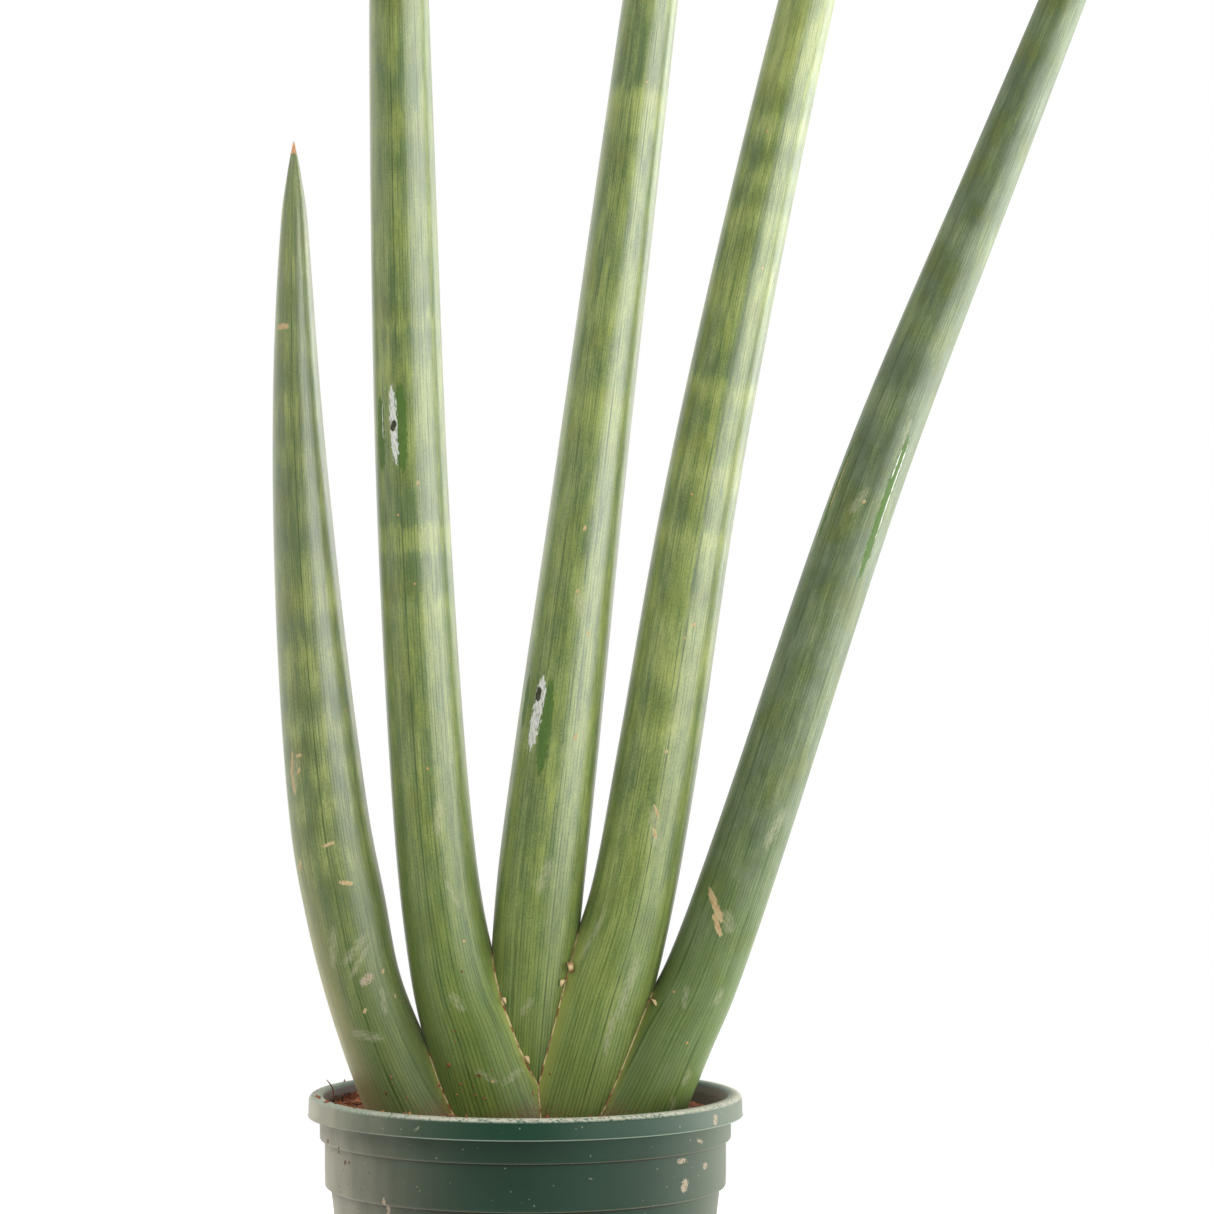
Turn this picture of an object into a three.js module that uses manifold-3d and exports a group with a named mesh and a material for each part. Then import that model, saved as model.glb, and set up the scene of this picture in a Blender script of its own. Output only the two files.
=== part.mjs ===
// A cylindrical snake plant in a nursery pot: five round, pointed leaves that fan out in one plane from
// a rhizome, whose bases clasp each other, rooted in potting mix in a stepped plastic pot.
// Millimetres, +Z up, the front of the fan faces -Y. The origin is the middle of the pot's flat base.
import * as THREE from "three";
import { mergeVertices } from "three/addons/utils/BufferGeometryUtils.js";
import Module from "manifold-3d";

const wasm = await Module();
wasm.setup();

// ---------------------------------------------------------------- driving dimensions

const GAP = 0.4; // clearance between pieces that touch

const POT_HEIGHT = 120;
const POT_SIDES = 48;
const WALL = 1.5;
const LIP_RADIUS = 70; // outside of the turned-down rim
const LIP_DROP = 7; // height of the turned-down rim
const LIP_ROUND = 2;
const COLLAR_RADIUS = 66.3; // outside of the band just under the rim
const COLLAR_FOOT = 105.4; // height of its lower edge
const BAND_RADIUS = 64.7; // outside of the second band
const BAND_FOOT = 90;
const BODY_RADIUS = 62.8; // outside of the plain tapered body, at its top
const BASE_RADIUS = 52;

const PAD_RADIUS = 22; // flat middle of the base, level with the foot ring
const CHANNEL_RISE = 3; // the drain channel stands this far above the ground
const CHANNEL_INNER = 26;
const CHANNEL_OUTER = 43;
const FOOT_INNER = 46;
const DRAIN_HOLES = 6;
const DRAIN_RADIUS = 4.5;
const DRAIN_CIRCLE = 34.5; // radius of the ring of drain holes

const SOIL_LEVEL = POT_HEIGHT - 7;
const SOIL_SIDES = 48;
const SOIL_RINGS = 7;
const MOUND_HEIGHT = 3.5; // the mix is heaped a little to the left and behind the leaves
const MOUND_AT = new THREE.Vector2(-50, 22);
const MOUND_SPREAD = 18;

const RHIZOME_RADIUS = 12;
const RHIZOME_LENGTH = 40; // between the centres of its round ends
const RHIZOME_CENTRE = new THREE.Vector3(3, 0, 70);
const ROOTS = 7;
const ROOT_RADIUS = 1.6;
const ROOT_REACH = 44; // how far the root tips lie from the pot's axis
const ROOT_TIP_HEIGHT = 14;

const LEAF_SIDES = 16;
const STEPS_PER_STATION = 3;
const CROWDING = 1.4; // above 1, the steps crowd together towards the tip

// The leaves, youngest first. Each one clasps the bases of all those before it.
// A station is [across, depth, height, width, thickness] of the uncut round section there.
const LEAVES = [
  {
    name: "leaf_centre",
    stations: [
      [-2, 0, 82, 20, 18],
      [0, 0, 124, 25, 20.5],
      [4, 0, 179, 28.2, 25.6],
      [10, 1, 231, 27.2, 26],
      [20.6, 3, 317, 23.1, 22.5],
      [33.6, 7, 420, 19.7, 19.3],
      [47.5, 12, 529, 15.6, 15.4],
      [65, 19, 664, 0, 0],
    ],
  },
  {
    name: "leaf_right_inner",
    stations: [
      [6, 0, 82, 30, 25],
      [14.4, 0, 114, 33, 29],
      [24, 0, 148, 31.5, 28.8],
      [33.9, 0, 181, 27.4, 26.5],
      [42.6, 1, 228, 26.5, 25.6],
      [57.2, 2, 317, 23.7, 23],
      [78.6, 4, 420, 20, 19.5],
      [103, 7, 524, 15.5, 15.3],
      [129, 11, 634, 0, 0],
    ],
  },
  {
    name: "leaf_left_inner",
    stations: [
      [2, 0, 82, 38, 32],
      [-8.5, 0, 114, 38, 33.5],
      [-15.8, 0, 137, 33.2, 32],
      [-24, 0, 163, 27.6, 27.4],
      [-30.4, -1, 214, 25.1, 24.6],
      [-36.4, -3, 317, 23.2, 23],
      [-39.6, -7, 439, 20.3, 20],
      [-41.5, -11, 554, 14.8, 14.6],
      [-43, -14, 644, 0, 0],
    ],
  },
  {
    name: "leaf_right_outer",
    stations: [
      [19, 0, 82, 36, 34],
      [36.2, 0, 115, 30, 31.5],
      [47.1, 0, 138, 27, 28],
      [57.7, 0, 160, 24.4, 25],
      [74.9, -1, 209, 23.1, 23.5],
      [110.6, -3, 317, 21.2, 21.5],
      [151.4, -7, 420, 16.6, 16.6],
      [189.2, -12, 514, 12, 12],
      [224, -17, 599, 0, 0],
    ],
  },
  {
    name: "leaf_left_outer",
    stations: [
      [-14, 0, 82, 38, 37],
      [-36.2, 0, 115, 29.4, 32],
      [-51, 0, 150, 25.2, 26],
      [-58.5, 0.5, 182, 26.4, 25.8],
      [-64, 1, 214, 25.4, 24.5],
      [-69.9, 2, 276, 21.5, 21],
      [-74, 5, 349, 15.1, 15],
      [-75, 9, 427.5, 0, 0],
    ],
  },
];

// ---------------------------------------------------------------- materials

const potPlastic = new THREE.MeshStandardMaterial({ color: 0x35564a, roughness: 0.5, metalness: 0 });
const pottingMix = new THREE.MeshStandardMaterial({ color: 0x5e3d28, roughness: 1, metalness: 0 });
const rootTissue = new THREE.MeshStandardMaterial({ color: 0xc98a4a, roughness: 0.8, metalness: 0 });
const leafSkin = new THREE.MeshStandardMaterial({ color: 0x6d8648, roughness: 0.45, metalness: 0 });

// ---------------------------------------------------------------- solids

// A closed three.js geometry as a solid that can be cut and joined.
function solidOf(geometry) {
  const bare = geometry.index ? geometry.toNonIndexed() : geometry.clone();
  bare.deleteAttribute("normal");
  bare.deleteAttribute("uv");
  const merged = mergeVertices(bare, 1e-4);
  return new wasm.Manifold(
    new wasm.Mesh({
      numProp: 3,
      vertProperties: new Float32Array(merged.attributes.position.array),
      triVerts: new Uint32Array(merged.index.array),
    }),
  );
}

// A solid back as a geometry with flat faces.
function geometryOf(solid) {
  const mesh = solid.getMesh();
  const positions = new Float32Array(mesh.numVert * 3);
  for (let i = 0; i < mesh.numVert; i++) {
    const from = i * mesh.numProp;
    positions.set(mesh.vertProperties.subarray(from, from + 3), i * 3);
  }
  const geometry = new THREE.BufferGeometry();
  geometry.setAttribute("position", new THREE.BufferAttribute(positions, 3));
  geometry.setIndex(new THREE.BufferAttribute(new Uint32Array(mesh.triVerts), 1));
  geometry.computeVertexNormals();
  return geometry;
}

// An outline in the half plane (radius, height), turned about the Z axis.
function turned(outline, sides) {
  return new THREE.LatheGeometry(outline, sides).rotateX(Math.PI / 2);
}

function curveThrough(points) {
  return new THREE.CatmullRomCurve3(points, false, "catmullrom", 0.5);
}

// ---------------------------------------------------------------- leaves

// One leaf as a round bar, bent along its spine. The square of its girth is what is drawn through the
// stations, so the point rounds off as a paraboloid does. "extra" grows it on every side.
function leafGeometry(stations, extra = 0) {
  const spine = curveThrough(stations.map(([x, y, z]) => new THREE.Vector3(x, y, z)));
  const girth = curveThrough(stations.map(([, , , w, d]) => new THREE.Vector3(w * w, d * d, 0)));
  const steps = STEPS_PER_STATION * (stations.length - 1);
  const outline = [new THREE.Vector2(0, 0)];
  for (let i = 0; i < steps; i++) outline.push(new THREE.Vector2(1, 1 - (1 - i / steps) ** CROWDING));
  outline.push(new THREE.Vector2(0, 1));

  const bar = new THREE.LatheGeometry(outline, LEAF_SIDES);
  const position = bar.attributes.position;
  const depth = new THREE.Vector3(0, 1, 0);
  const point = new THREE.Vector3();
  for (let i = 0; i < position.count; i++) {
    const t = position.getY(i);
    const tangent = spine.getTangent(t);
    const side = new THREE.Vector3().crossVectors(depth, tangent).normalize();
    const front = new THREE.Vector3().crossVectors(side, tangent);
    const squares = girth.getPoint(t);
    const halfWidth = Math.sqrt(Math.max(squares.x, 0)) / 2 + extra;
    const halfThickness = Math.sqrt(Math.max(squares.y, 0)) / 2 + extra;
    point.copy(spine.getPoint(t));
    point.addScaledVector(side, position.getX(i) * halfWidth);
    point.addScaledVector(front, position.getZ(i) * halfThickness);
    if (t === 0) point.addScaledVector(tangent, -extra);
    position.setXYZ(i, point.x, point.y, point.z);
  }
  return bar;
}

// Each leaf less the room that the younger leaves inside it take, which leaves a sheath at its base.
function leafSolids() {
  const solids = new Map();
  let younger = null;
  for (const { name, stations } of LEAVES) {
    const whole = solidOf(leafGeometry(stations));
    solids.set(name, younger ? whole.subtract(younger) : whole);
    const room = solidOf(leafGeometry(stations, GAP));
    younger = younger ? younger.add(room) : room;
  }
  return { solids, room: younger };
}

// ---------------------------------------------------------------- rhizome and roots

function rootGeometry(index, extra) {
  const angle = ((index + 0.5) / ROOTS) * 2 * Math.PI;
  const reach = ROOT_REACH * (0.85 + 0.15 * Math.cos(3 * angle));
  const drop = RHIZOME_CENTRE.z - ROOT_TIP_HEIGHT;
  const path = curveThrough(
    [0, 0.25, 0.6, 0.85, 1].map((part) => {
      const out = reach * Math.sin((part * Math.PI) / 2);
      return new THREE.Vector3(
        RHIZOME_CENTRE.x + Math.cos(angle + 0.5 * part) * out,
        Math.sin(angle + 0.5 * part) * out,
        RHIZOME_CENTRE.z - drop * part * part - 4,
      );
    }),
  );
  const section = new THREE.Shape().absarc(0, 0, ROOT_RADIUS + extra, 0, 2 * Math.PI);
  return new THREE.ExtrudeGeometry(section, {
    steps: 10,
    curveSegments: 3,
    bevelEnabled: false,
    extrudePath: path,
  });
}

function rhizomeSolid(extra = 0) {
  const stem = new THREE.CapsuleGeometry(RHIZOME_RADIUS + extra, RHIZOME_LENGTH, 4, 14);
  stem.rotateZ(Math.PI / 2);
  stem.translate(RHIZOME_CENTRE.x, RHIZOME_CENTRE.y, RHIZOME_CENTRE.z);
  let solid = solidOf(stem);
  for (let i = 0; i < ROOTS; i++) solid = solid.add(solidOf(rootGeometry(i, extra)));
  return solid;
}

// ---------------------------------------------------------------- pot

// The outside of the wall, from the foot up to the underside of the rim.
function wallOutside(path) {
  const bandRound = BAND_RADIUS - BODY_RADIUS;
  const collarRound = COLLAR_RADIUS - BAND_RADIUS;
  path.lineTo(BASE_RADIUS, 0);
  path.lineTo(BODY_RADIUS, BAND_FOOT);
  path.absarc(BODY_RADIUS, BAND_FOOT + bandRound, bandRound, -Math.PI / 2, 0);
  path.lineTo(BAND_RADIUS, COLLAR_FOOT);
  path.absarc(BAND_RADIUS, COLLAR_FOOT + collarRound, collarRound, -Math.PI / 2, 0);
  path.lineTo(COLLAR_RADIUS, POT_HEIGHT - WALL);
}

// The turned-down rim: down inside the flange, round its foot, and over its top.
function lip(path) {
  const flangeInside = LIP_RADIUS - WALL;
  path.lineTo(flangeInside, POT_HEIGHT - WALL);
  path.lineTo(flangeInside, POT_HEIGHT - LIP_DROP);
  path.lineTo(LIP_RADIUS, POT_HEIGHT - LIP_DROP);
  path.lineTo(LIP_RADIUS, POT_HEIGHT - LIP_ROUND);
  path.absarc(LIP_RADIUS - LIP_ROUND, POT_HEIGHT - LIP_ROUND, LIP_ROUND, 0, Math.PI / 2);
}

// The inside of the wall from the rim down, as [radius, height]. It is kept "clear" away from the wall.
function wallInside(clear) {
  const thick = WALL + clear;
  const taper = (BODY_RADIUS - BASE_RADIUS) / BAND_FOOT;
  const floor = CHANNEL_RISE + thick;
  return [
    [COLLAR_RADIUS - thick, POT_HEIGHT - LIP_ROUND / 2],
    [COLLAR_RADIUS - thick, COLLAR_FOOT + thick],
    [BAND_RADIUS - thick, COLLAR_FOOT],
    [BAND_RADIUS - thick, BAND_FOOT + thick],
    [BODY_RADIUS - thick, BAND_FOOT],
    [BASE_RADIUS + taper * floor - thick, floor],
    [FOOT_INNER - thick / 2, thick],
    [CHANNEL_OUTER, floor],
    [CHANNEL_INNER, floor],
    [PAD_RADIUS + thick / 4, thick],
    [0, thick],
  ];
}

function potSolid() {
  const path = new THREE.Path();
  path.moveTo(0, 0);
  path.lineTo(PAD_RADIUS, 0);
  path.lineTo(CHANNEL_INNER, CHANNEL_RISE);
  path.lineTo(CHANNEL_OUTER, CHANNEL_RISE);
  path.lineTo(FOOT_INNER, 0);
  wallOutside(path);
  lip(path);
  path.lineTo(COLLAR_RADIUS - WALL + LIP_ROUND / 2, POT_HEIGHT);
  for (const [radius, height] of wallInside(0)) path.lineTo(radius, height);

  let pot = solidOf(turned(path.getPoints(3), POT_SIDES));
  for (let i = 0; i < DRAIN_HOLES; i++) {
    const angle = (i / DRAIN_HOLES) * 2 * Math.PI;
    const drill = new THREE.CylinderGeometry(DRAIN_RADIUS, DRAIN_RADIUS, 4 * WALL, 12);
    drill.rotateX(Math.PI / 2);
    drill.translate(DRAIN_CIRCLE * Math.cos(angle), DRAIN_CIRCLE * Math.sin(angle), CHANNEL_RISE + WALL / 2);
    pot = pot.subtract(solidOf(drill));
  }
  return pot;
}

// ---------------------------------------------------------------- potting mix

// A plug that fills the pot to just under the rim, heaped a little on one side.
function pottingMixSolid(room) {
  const inside = wallInside(GAP).filter(([, height]) => height < SOIL_LEVEL);
  const edge = COLLAR_RADIUS - WALL - GAP;
  const outline = inside.reverse().map(([radius, height]) => new THREE.Vector2(radius, height));
  for (let i = 0; i <= SOIL_RINGS; i++) {
    outline.push(new THREE.Vector2(edge * (1 - i / SOIL_RINGS), SOIL_LEVEL));
  }
  const plug = turned(outline, SOIL_SIDES);
  const position = plug.attributes.position;
  for (let i = 0; i < position.count; i++) {
    if (position.getZ(i) < SOIL_LEVEL - 0.01) continue;
    const away = Math.hypot(position.getX(i) - MOUND_AT.x, position.getY(i) - MOUND_AT.y);
    const heap = MOUND_HEIGHT * Math.exp(-((away / MOUND_SPREAD) ** 2));
    position.setZ(i, SOIL_LEVEL + heap);
  }
  return solidOf(plug).subtract(room);
}

// ---------------------------------------------------------------- the plant in its pot

const plant = new THREE.Group();

function addPiece(name, solid, material) {
  const mesh = new THREE.Mesh(geometryOf(solid), material);
  mesh.name = name;
  plant.add(mesh);
}

const leaves = leafSolids();
addPiece("nursery_pot", potSolid(), potPlastic);
addPiece("potting_mix", pottingMixSolid(leaves.room.add(rhizomeSolid(GAP))), pottingMix);
addPiece("rhizome_and_roots", rhizomeSolid().subtract(leaves.room), rootTissue);
for (const [name, solid] of leaves.solids) addPiece(name, solid, leafSkin);

export default plant;
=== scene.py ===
"""A potted cylindrical snake plant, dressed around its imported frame.

Five round, pointed leaves fan out in one plane and clasp each other at the base. They grow from potting
mix in a stepped nursery pot. Metres, +Z up. The front of the fan faces -Y, and the origin is the middle
of the pot's base. The sizes of the pieces are in millimetres and turned to metres as they are built.
"""

import logging
import math
import random
from dataclasses import dataclass, field
from enum import Enum

import bpy
import numpy as np
from mathutils import Euler, Matrix, Vector
from mathutils.bvhtree import BVHTree


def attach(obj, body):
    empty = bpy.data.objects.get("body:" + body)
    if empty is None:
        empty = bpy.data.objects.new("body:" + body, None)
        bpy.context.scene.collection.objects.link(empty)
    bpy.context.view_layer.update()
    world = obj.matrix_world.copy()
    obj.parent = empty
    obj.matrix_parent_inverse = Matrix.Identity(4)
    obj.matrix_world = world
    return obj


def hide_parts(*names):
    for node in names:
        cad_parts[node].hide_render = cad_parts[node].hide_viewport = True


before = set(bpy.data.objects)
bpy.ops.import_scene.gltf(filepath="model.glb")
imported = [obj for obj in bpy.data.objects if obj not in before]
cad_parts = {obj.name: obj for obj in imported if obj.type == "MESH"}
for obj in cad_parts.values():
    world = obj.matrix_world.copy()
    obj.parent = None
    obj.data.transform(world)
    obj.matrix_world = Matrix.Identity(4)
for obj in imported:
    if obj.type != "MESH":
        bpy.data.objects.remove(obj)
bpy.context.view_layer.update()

log = logging.getLogger("snake_plant")

MM = 0.001
DOWN = Vector((0, 0, -1))
Colour = tuple[float, float, float, float]
Inputs = dict[int | str, object]
Piece = bpy.types.Object
Socket = bpy.types.NodeSocket
Tree = bpy.types.NodeTree


# ---------------------------------------------------------------- small tools


def linear(hex_colour: str) -> Colour:
    """Turn an sRGB hex colour to linear red, green, blue and alpha.

    Args:
        hex_colour: The colour as "#rrggbb".

    Returns:
        The four linear channels.
    """
    channels = [int(hex_colour[i : i + 2], 16) / 255 for i in (1, 3, 5)]
    red, green, blue = (c / 12.92 if c <= 0.04045 else ((c + 0.055) / 1.055) ** 2.4 for c in channels)
    return red, green, blue, 1.0


def grey(level: float) -> Colour:
    """Return a linear grey."""
    return level, level, level, 1.0


def add_node(tree: Tree, kind: str, inputs: Inputs | None = None, **settings: object) -> Socket:
    """Add a shader node, set it and fill its inputs.

    Args:
        tree: The node tree that gets the node.
        kind: The node's type, without "ShaderNode".
        inputs: Input names or numbers, each with a value or with the output socket that feeds it.
        **settings: Properties of the node.

    Returns:
        The node's first output. The node itself is its .node.
    """
    node = tree.nodes.new("ShaderNode" + kind)
    for name, value in settings.items():
        setattr(node, name, value)
    for socket, value in (inputs or {}).items():
        if isinstance(value, Socket):
            tree.links.new(value, node.inputs[socket])
        else:
            node.inputs[socket].default_value = value
    return node.outputs[0] if node.outputs else None


def set_ramp(
    ramp: Socket, stops: list[tuple[float, Colour]], interpolation: str = "LINEAR"
) -> None:
    """Set the stops of a colour ramp.

    Args:
        ramp: The ramp node's first output.
        stops: Each stop's place, from 0 to 1, and its colour.
        interpolation: How the ramp passes from stop to stop.
    """
    color_ramp = ramp.node.color_ramp
    color_ramp.interpolation = interpolation
    while len(color_ramp.elements) < len(stops):
        color_ramp.elements.new(0.5)
    for element, (place, colour) in zip(color_ramp.elements, stops):
        element.position = place
        element.color = colour


def millimetres(tree: Tree) -> Socket:
    """Return the place on the piece in millimetres."""
    place = add_node(tree, "TexCoord").node.outputs["Object"]
    return add_node(tree, "VectorMath", {0: place, "Scale": 1 / MM}, operation="SCALE")


def round_place(tree: Tree, place: Socket) -> tuple[Socket, Socket, Socket]:
    """Say where a place lies around the upright axis.

    Args:
        tree: The node tree.
        place: The place.

    Returns:
        How far it lies to the right, how high, and its turn from the front towards the right in radians.
    """
    parts = add_node(tree, "SeparateXYZ", {0: place}).node.outputs
    front = add_node(tree, "Math", {0: parts["Y"], 1: -1.0}, operation="MULTIPLY")
    turn = add_node(tree, "Math", {0: parts["X"], 1: front}, operation="ARCTAN2")
    return parts["X"], parts["Z"], turn


def dots(tree: Tree, place: Socket, scale: float, sizes: tuple[float, float], left_out: float) -> Socket:
    """Draw scattered dots.

    Args:
        tree: The material's node tree.
        place: The place that the dots lie on, in millimetres.
        scale: The number of dots in a millimetre.
        sizes: Where a dot fades out and where it is full, as shares of their spacing.
        left_out: The share of the dots that is left out.

    Returns:
        The mask of the dots.
    """
    cells = add_node(tree, "TexVoronoi", {"Vector": place, "Scale": scale}).node.outputs
    near = {"Value": cells["Distance"], "From Min": sizes[0], "From Max": sizes[1]}
    dot = add_node(tree, "MapRange", near)
    kept = add_node(tree, "Math", {0: cells["Color"], 1: left_out}, operation="GREATER_THAN")
    return add_node(tree, "Math", {0: dot, 1: kept}, operation="MULTIPLY")


def new_material(name: str) -> tuple[bpy.types.Material, Tree]:
    """Make an empty node material.

    Args:
        name: The material's name.

    Returns:
        The material and its node tree.
    """
    material = bpy.data.materials.new(name)
    material.use_nodes = True
    material.node_tree.nodes.clear()
    return material, material.node_tree


def finish_surface(tree: Tree, inputs: Inputs) -> None:
    """End a material in one Principled shader with these inputs."""
    shader = add_node(tree, "BsdfPrincipled", inputs)
    add_node(tree, "OutputMaterial", {"Surface": shader})


def activate(piece: Piece) -> None:
    """Make a piece the only selected object and the active one.

    Args:
        piece: The piece.
    """
    bpy.ops.object.select_all(action="DESELECT")
    piece.select_set(True)
    bpy.context.view_layer.objects.active = piece


def apply_modifier(piece: Piece, kind: str, **settings: object) -> None:
    """Add a modifier to a piece, set it and apply it.

    Args:
        piece: The piece to change.
        kind: The modifier's type.
        **settings: Properties of the modifier.
    """
    activate(piece)
    modifier = piece.modifiers.new(kind.lower(), kind)
    for name, value in settings.items():
        setattr(modifier, name, value)
    bpy.ops.object.modifier_apply(modifier=modifier.name)


def dress(piece: Piece, material: bpy.types.Material, slot: str, *nodes: str) -> None:
    """Give a piece its material and its body, and hide the CAD nodes that it stands for.

    Args:
        piece: The finished piece.
        material: Its material.
        slot: The record's material slot. It is not used.
        *nodes: The CAD nodes that the piece replaces.
    """
    piece.data.materials.clear()
    piece.data.materials.append(material)
    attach(piece, "root")
    if nodes:
        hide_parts(*nodes)
    log.info("%s: %d faces", piece.name, len(piece.data.polygons))


def catmull_rom(points: np.ndarray, places: np.ndarray) -> np.ndarray:
    """Find points on the uniform Catmull-Rom curve through given points.

    Args:
        points: The given points, one a row.
        places: Where on the curve, from 0 at its first point to 1 at its last.

    Returns:
        One point a row, for each place.
    """
    ends = np.vstack([2 * points[0] - points[1], points, 2 * points[-1] - points[-2]])
    spans = len(points) - 1
    position = np.clip(places * spans, 0, spans - 1e-9)
    span = position.astype(int)
    w = (position - span)[:, None]
    p0, p1, p2, p3 = (ends[span + k] for k in range(4))
    v1, v2 = (p2 - p0) / 2, (p3 - p1) / 2
    return (2 * p1 - 2 * p2 + v1 + v2) * w**3 + (3 * p2 - 3 * p1 - 2 * v1 - v2) * w**2 + v1 * w + p1


@dataclass(frozen=True)
class Ring:
    """One ring of a lofted piece, in metres, with its lean from +Z towards +X in radians."""

    centre: Vector
    half_width: float
    half_depth: float
    lean: float = 0.0


def loft(name: str, rings: list[Ring], sides: int, dents: dict[int, float] | None = None) -> Piece:
    """Draw a closed piece by extruding a filled circle from ring to ring.

    Args:
        name: The piece's name.
        rings: The rings in order. A last ring with no size closes the piece in a point.
        sides: The number of sides of each ring.
        dents: For a side's number, how far its corner is drawn in, as a share of the radius.

    Returns:
        The piece, in object mode, smooth all over.
    """
    first = rings[0]
    bpy.ops.object.select_all(action="DESELECT")
    bpy.ops.mesh.primitive_circle_add(vertices=sides, radius=1, fill_type="NGON")
    piece = bpy.context.object
    piece.name = name
    piece.data.name = name
    for corner, depth in (dents or {}).items():
        piece.data.vertices[corner].co *= 1 - depth
    bpy.ops.object.mode_set(mode="EDIT")
    bpy.ops.mesh.select_all(action="SELECT")
    bpy.ops.transform.resize(value=(first.half_width, first.half_depth, 1), center_override=(0, 0, 0))
    bpy.ops.transform.rotate(value=-first.lean, orient_axis="Y", center_override=(0, 0, 0))
    bpy.ops.transform.translate(value=first.centre)
    for last, ring in zip(rings, rings[1:]):
        bpy.ops.mesh.extrude_region_move(TRANSFORM_OT_translate={"value": ring.centre - last.centre})
        if ring.half_width == 0:
            bpy.ops.mesh.merge(type="CENTER")
            break
        if ring.lean != last.lean:
            bpy.ops.transform.rotate(
                value=last.lean - ring.lean, orient_axis="Y", center_override=ring.centre
            )
        across = ring.half_width / last.half_width
        through = ring.half_depth / last.half_depth
        bpy.ops.transform.resize(value=(across, through, across), center_override=ring.centre)
    bpy.ops.mesh.select_all(action="SELECT")
    bpy.ops.mesh.normals_make_consistent(inside=False)
    bpy.ops.object.mode_set(mode="OBJECT")
    bpy.ops.object.shade_smooth()
    return piece


@dataclass(frozen=True)
class Corner:
    """A corner of a turned outline, in millimetres, with the radius that rounds it."""

    radius: float
    height: float
    rounding: float = 0.0


def rounded(corners: list[Corner], steps: int = 4, most: float = 0.49) -> list[tuple[float, float]]:
    """Round the corners of an outline.

    Args:
        corners: The outline's corners in order.
        steps: The number of straight steps in each rounding.
        most: The greatest share of a straight that a rounding takes.

    Returns:
        The outline's points as radius and height.
    """
    outline = [(corners[0].radius, corners[0].height)]
    for before, corner, after in zip(corners, corners[1:], corners[2:]):
        here = Vector((corner.radius, corner.height))
        back = Vector((before.radius, before.height)) - here
        on = Vector((after.radius, after.height)) - here
        if corner.rounding == 0:
            outline.append(tuple(here))
            continue
        shorter = min(back.length, on.length)
        reach = min(corner.rounding / math.tan(back.angle(on) / 2), shorter * most)
        start = here + back.normalized() * reach
        end = here + on.normalized() * reach
        for step in range(steps + 1):
            share = step / steps
            outline.append(tuple(start.lerp(here, share).lerp(here.lerp(end, share), share)))
    outline.append((corners[-1].radius, corners[-1].height))
    return outline


def turned(outline: list[tuple[float, float]]) -> list[Ring]:
    """Return the rings of a turned piece, from its outline's radii and heights in millimetres."""
    return [Ring(Vector((0, 0, height * MM)), radius * MM, radius * MM) for radius, height in outline]


def scatter(name: str, template: Piece, places: list[Matrix]) -> Piece:
    """Copy a modelled piece to many places and join the copies into one piece.

    Args:
        name: The new piece's name.
        template: The piece that is copied. It is removed.
        places: The transform of each copy.

    Returns:
        The joined piece.
    """
    mesh = template.data
    corners = np.array([v.co for v in mesh.vertices])
    faces = [tuple(p.vertices) for p in mesh.polygons]
    all_corners, all_faces = [], []
    for number, place in enumerate(places):
        turn = np.array(place.to_3x3())
        all_corners.append(corners @ turn.T + np.array(place.translation))
        first = number * len(corners)
        all_faces.extend(tuple(first + i for i in face) for face in faces)
    joined = bpy.data.meshes.new(name)
    joined.from_pydata(np.vstack(all_corners).tolist(), [], all_faces)
    joined.shade_smooth()
    piece = bpy.data.objects.new(name, joined)
    bpy.context.scene.collection.objects.link(piece)
    bpy.data.objects.remove(template)
    return piece


# ---------------------------------------------------------------- blemishes


class Mark(Enum):
    """The kinds of blemish, in the order in which they lie on each other."""

    RUB = "strip rubbed clean of wax"
    SCUFF = "pale scratches"
    FLAKE = "lifted silvery skin"
    HOLE = "dark bruise inside a flake"
    SCAB = "dry tan scab"
    SOIL = "dried splash of soil"
    CLOD = "crumb of damp soil"


@dataclass(frozen=True)
class MarkLook:
    """How one kind of blemish looks.

    It has two colours, and says how solid, ragged, blunt, rough and soft the mark is, and how finely its
    streaks change upwards.
    """

    colour: str
    streak: str
    strength: float = 1.0
    fill: float = 1.0
    ragged: float = 1.2
    blunt: float = 1.0
    roughness: float = 0.7
    softness: float = 0.25
    grain_up: float = 0.5


LOOKS = {
    Mark.RUB: MarkLook("#355311", "#42611c", 0.9, 1.0, 1.6, 1.2, 0.5),
    Mark.SCUFF: MarkLook("#a09e84", "#8d8b6a", 0.62, 0.7, 2.6, 2.0, 0.7, 1.5),
    Mark.FLAKE: MarkLook("#bcbdb5", "#83857a", 1.0, 0.9, 2.0, 1.0, 0.45),
    Mark.HOLE: MarkLook("#181a08", "#403c16", 1.0, 1.0, 1.0),
    Mark.SCAB: MarkLook("#a3946c", "#a0744f", 0.95, 0.8, 2.6, 2.0, 0.85, 0.3),
    Mark.SOIL: MarkLook("#9a8e7a", "#8a6f58", 0.85, 0.6, 3.2, 2.0, 0.9, 0.4, 1.3),
    Mark.CLOD: MarkLook("#3a2216", "#5c3823", 0.95, 1.0, 1.0, 2.0, 0.9),
}


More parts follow.
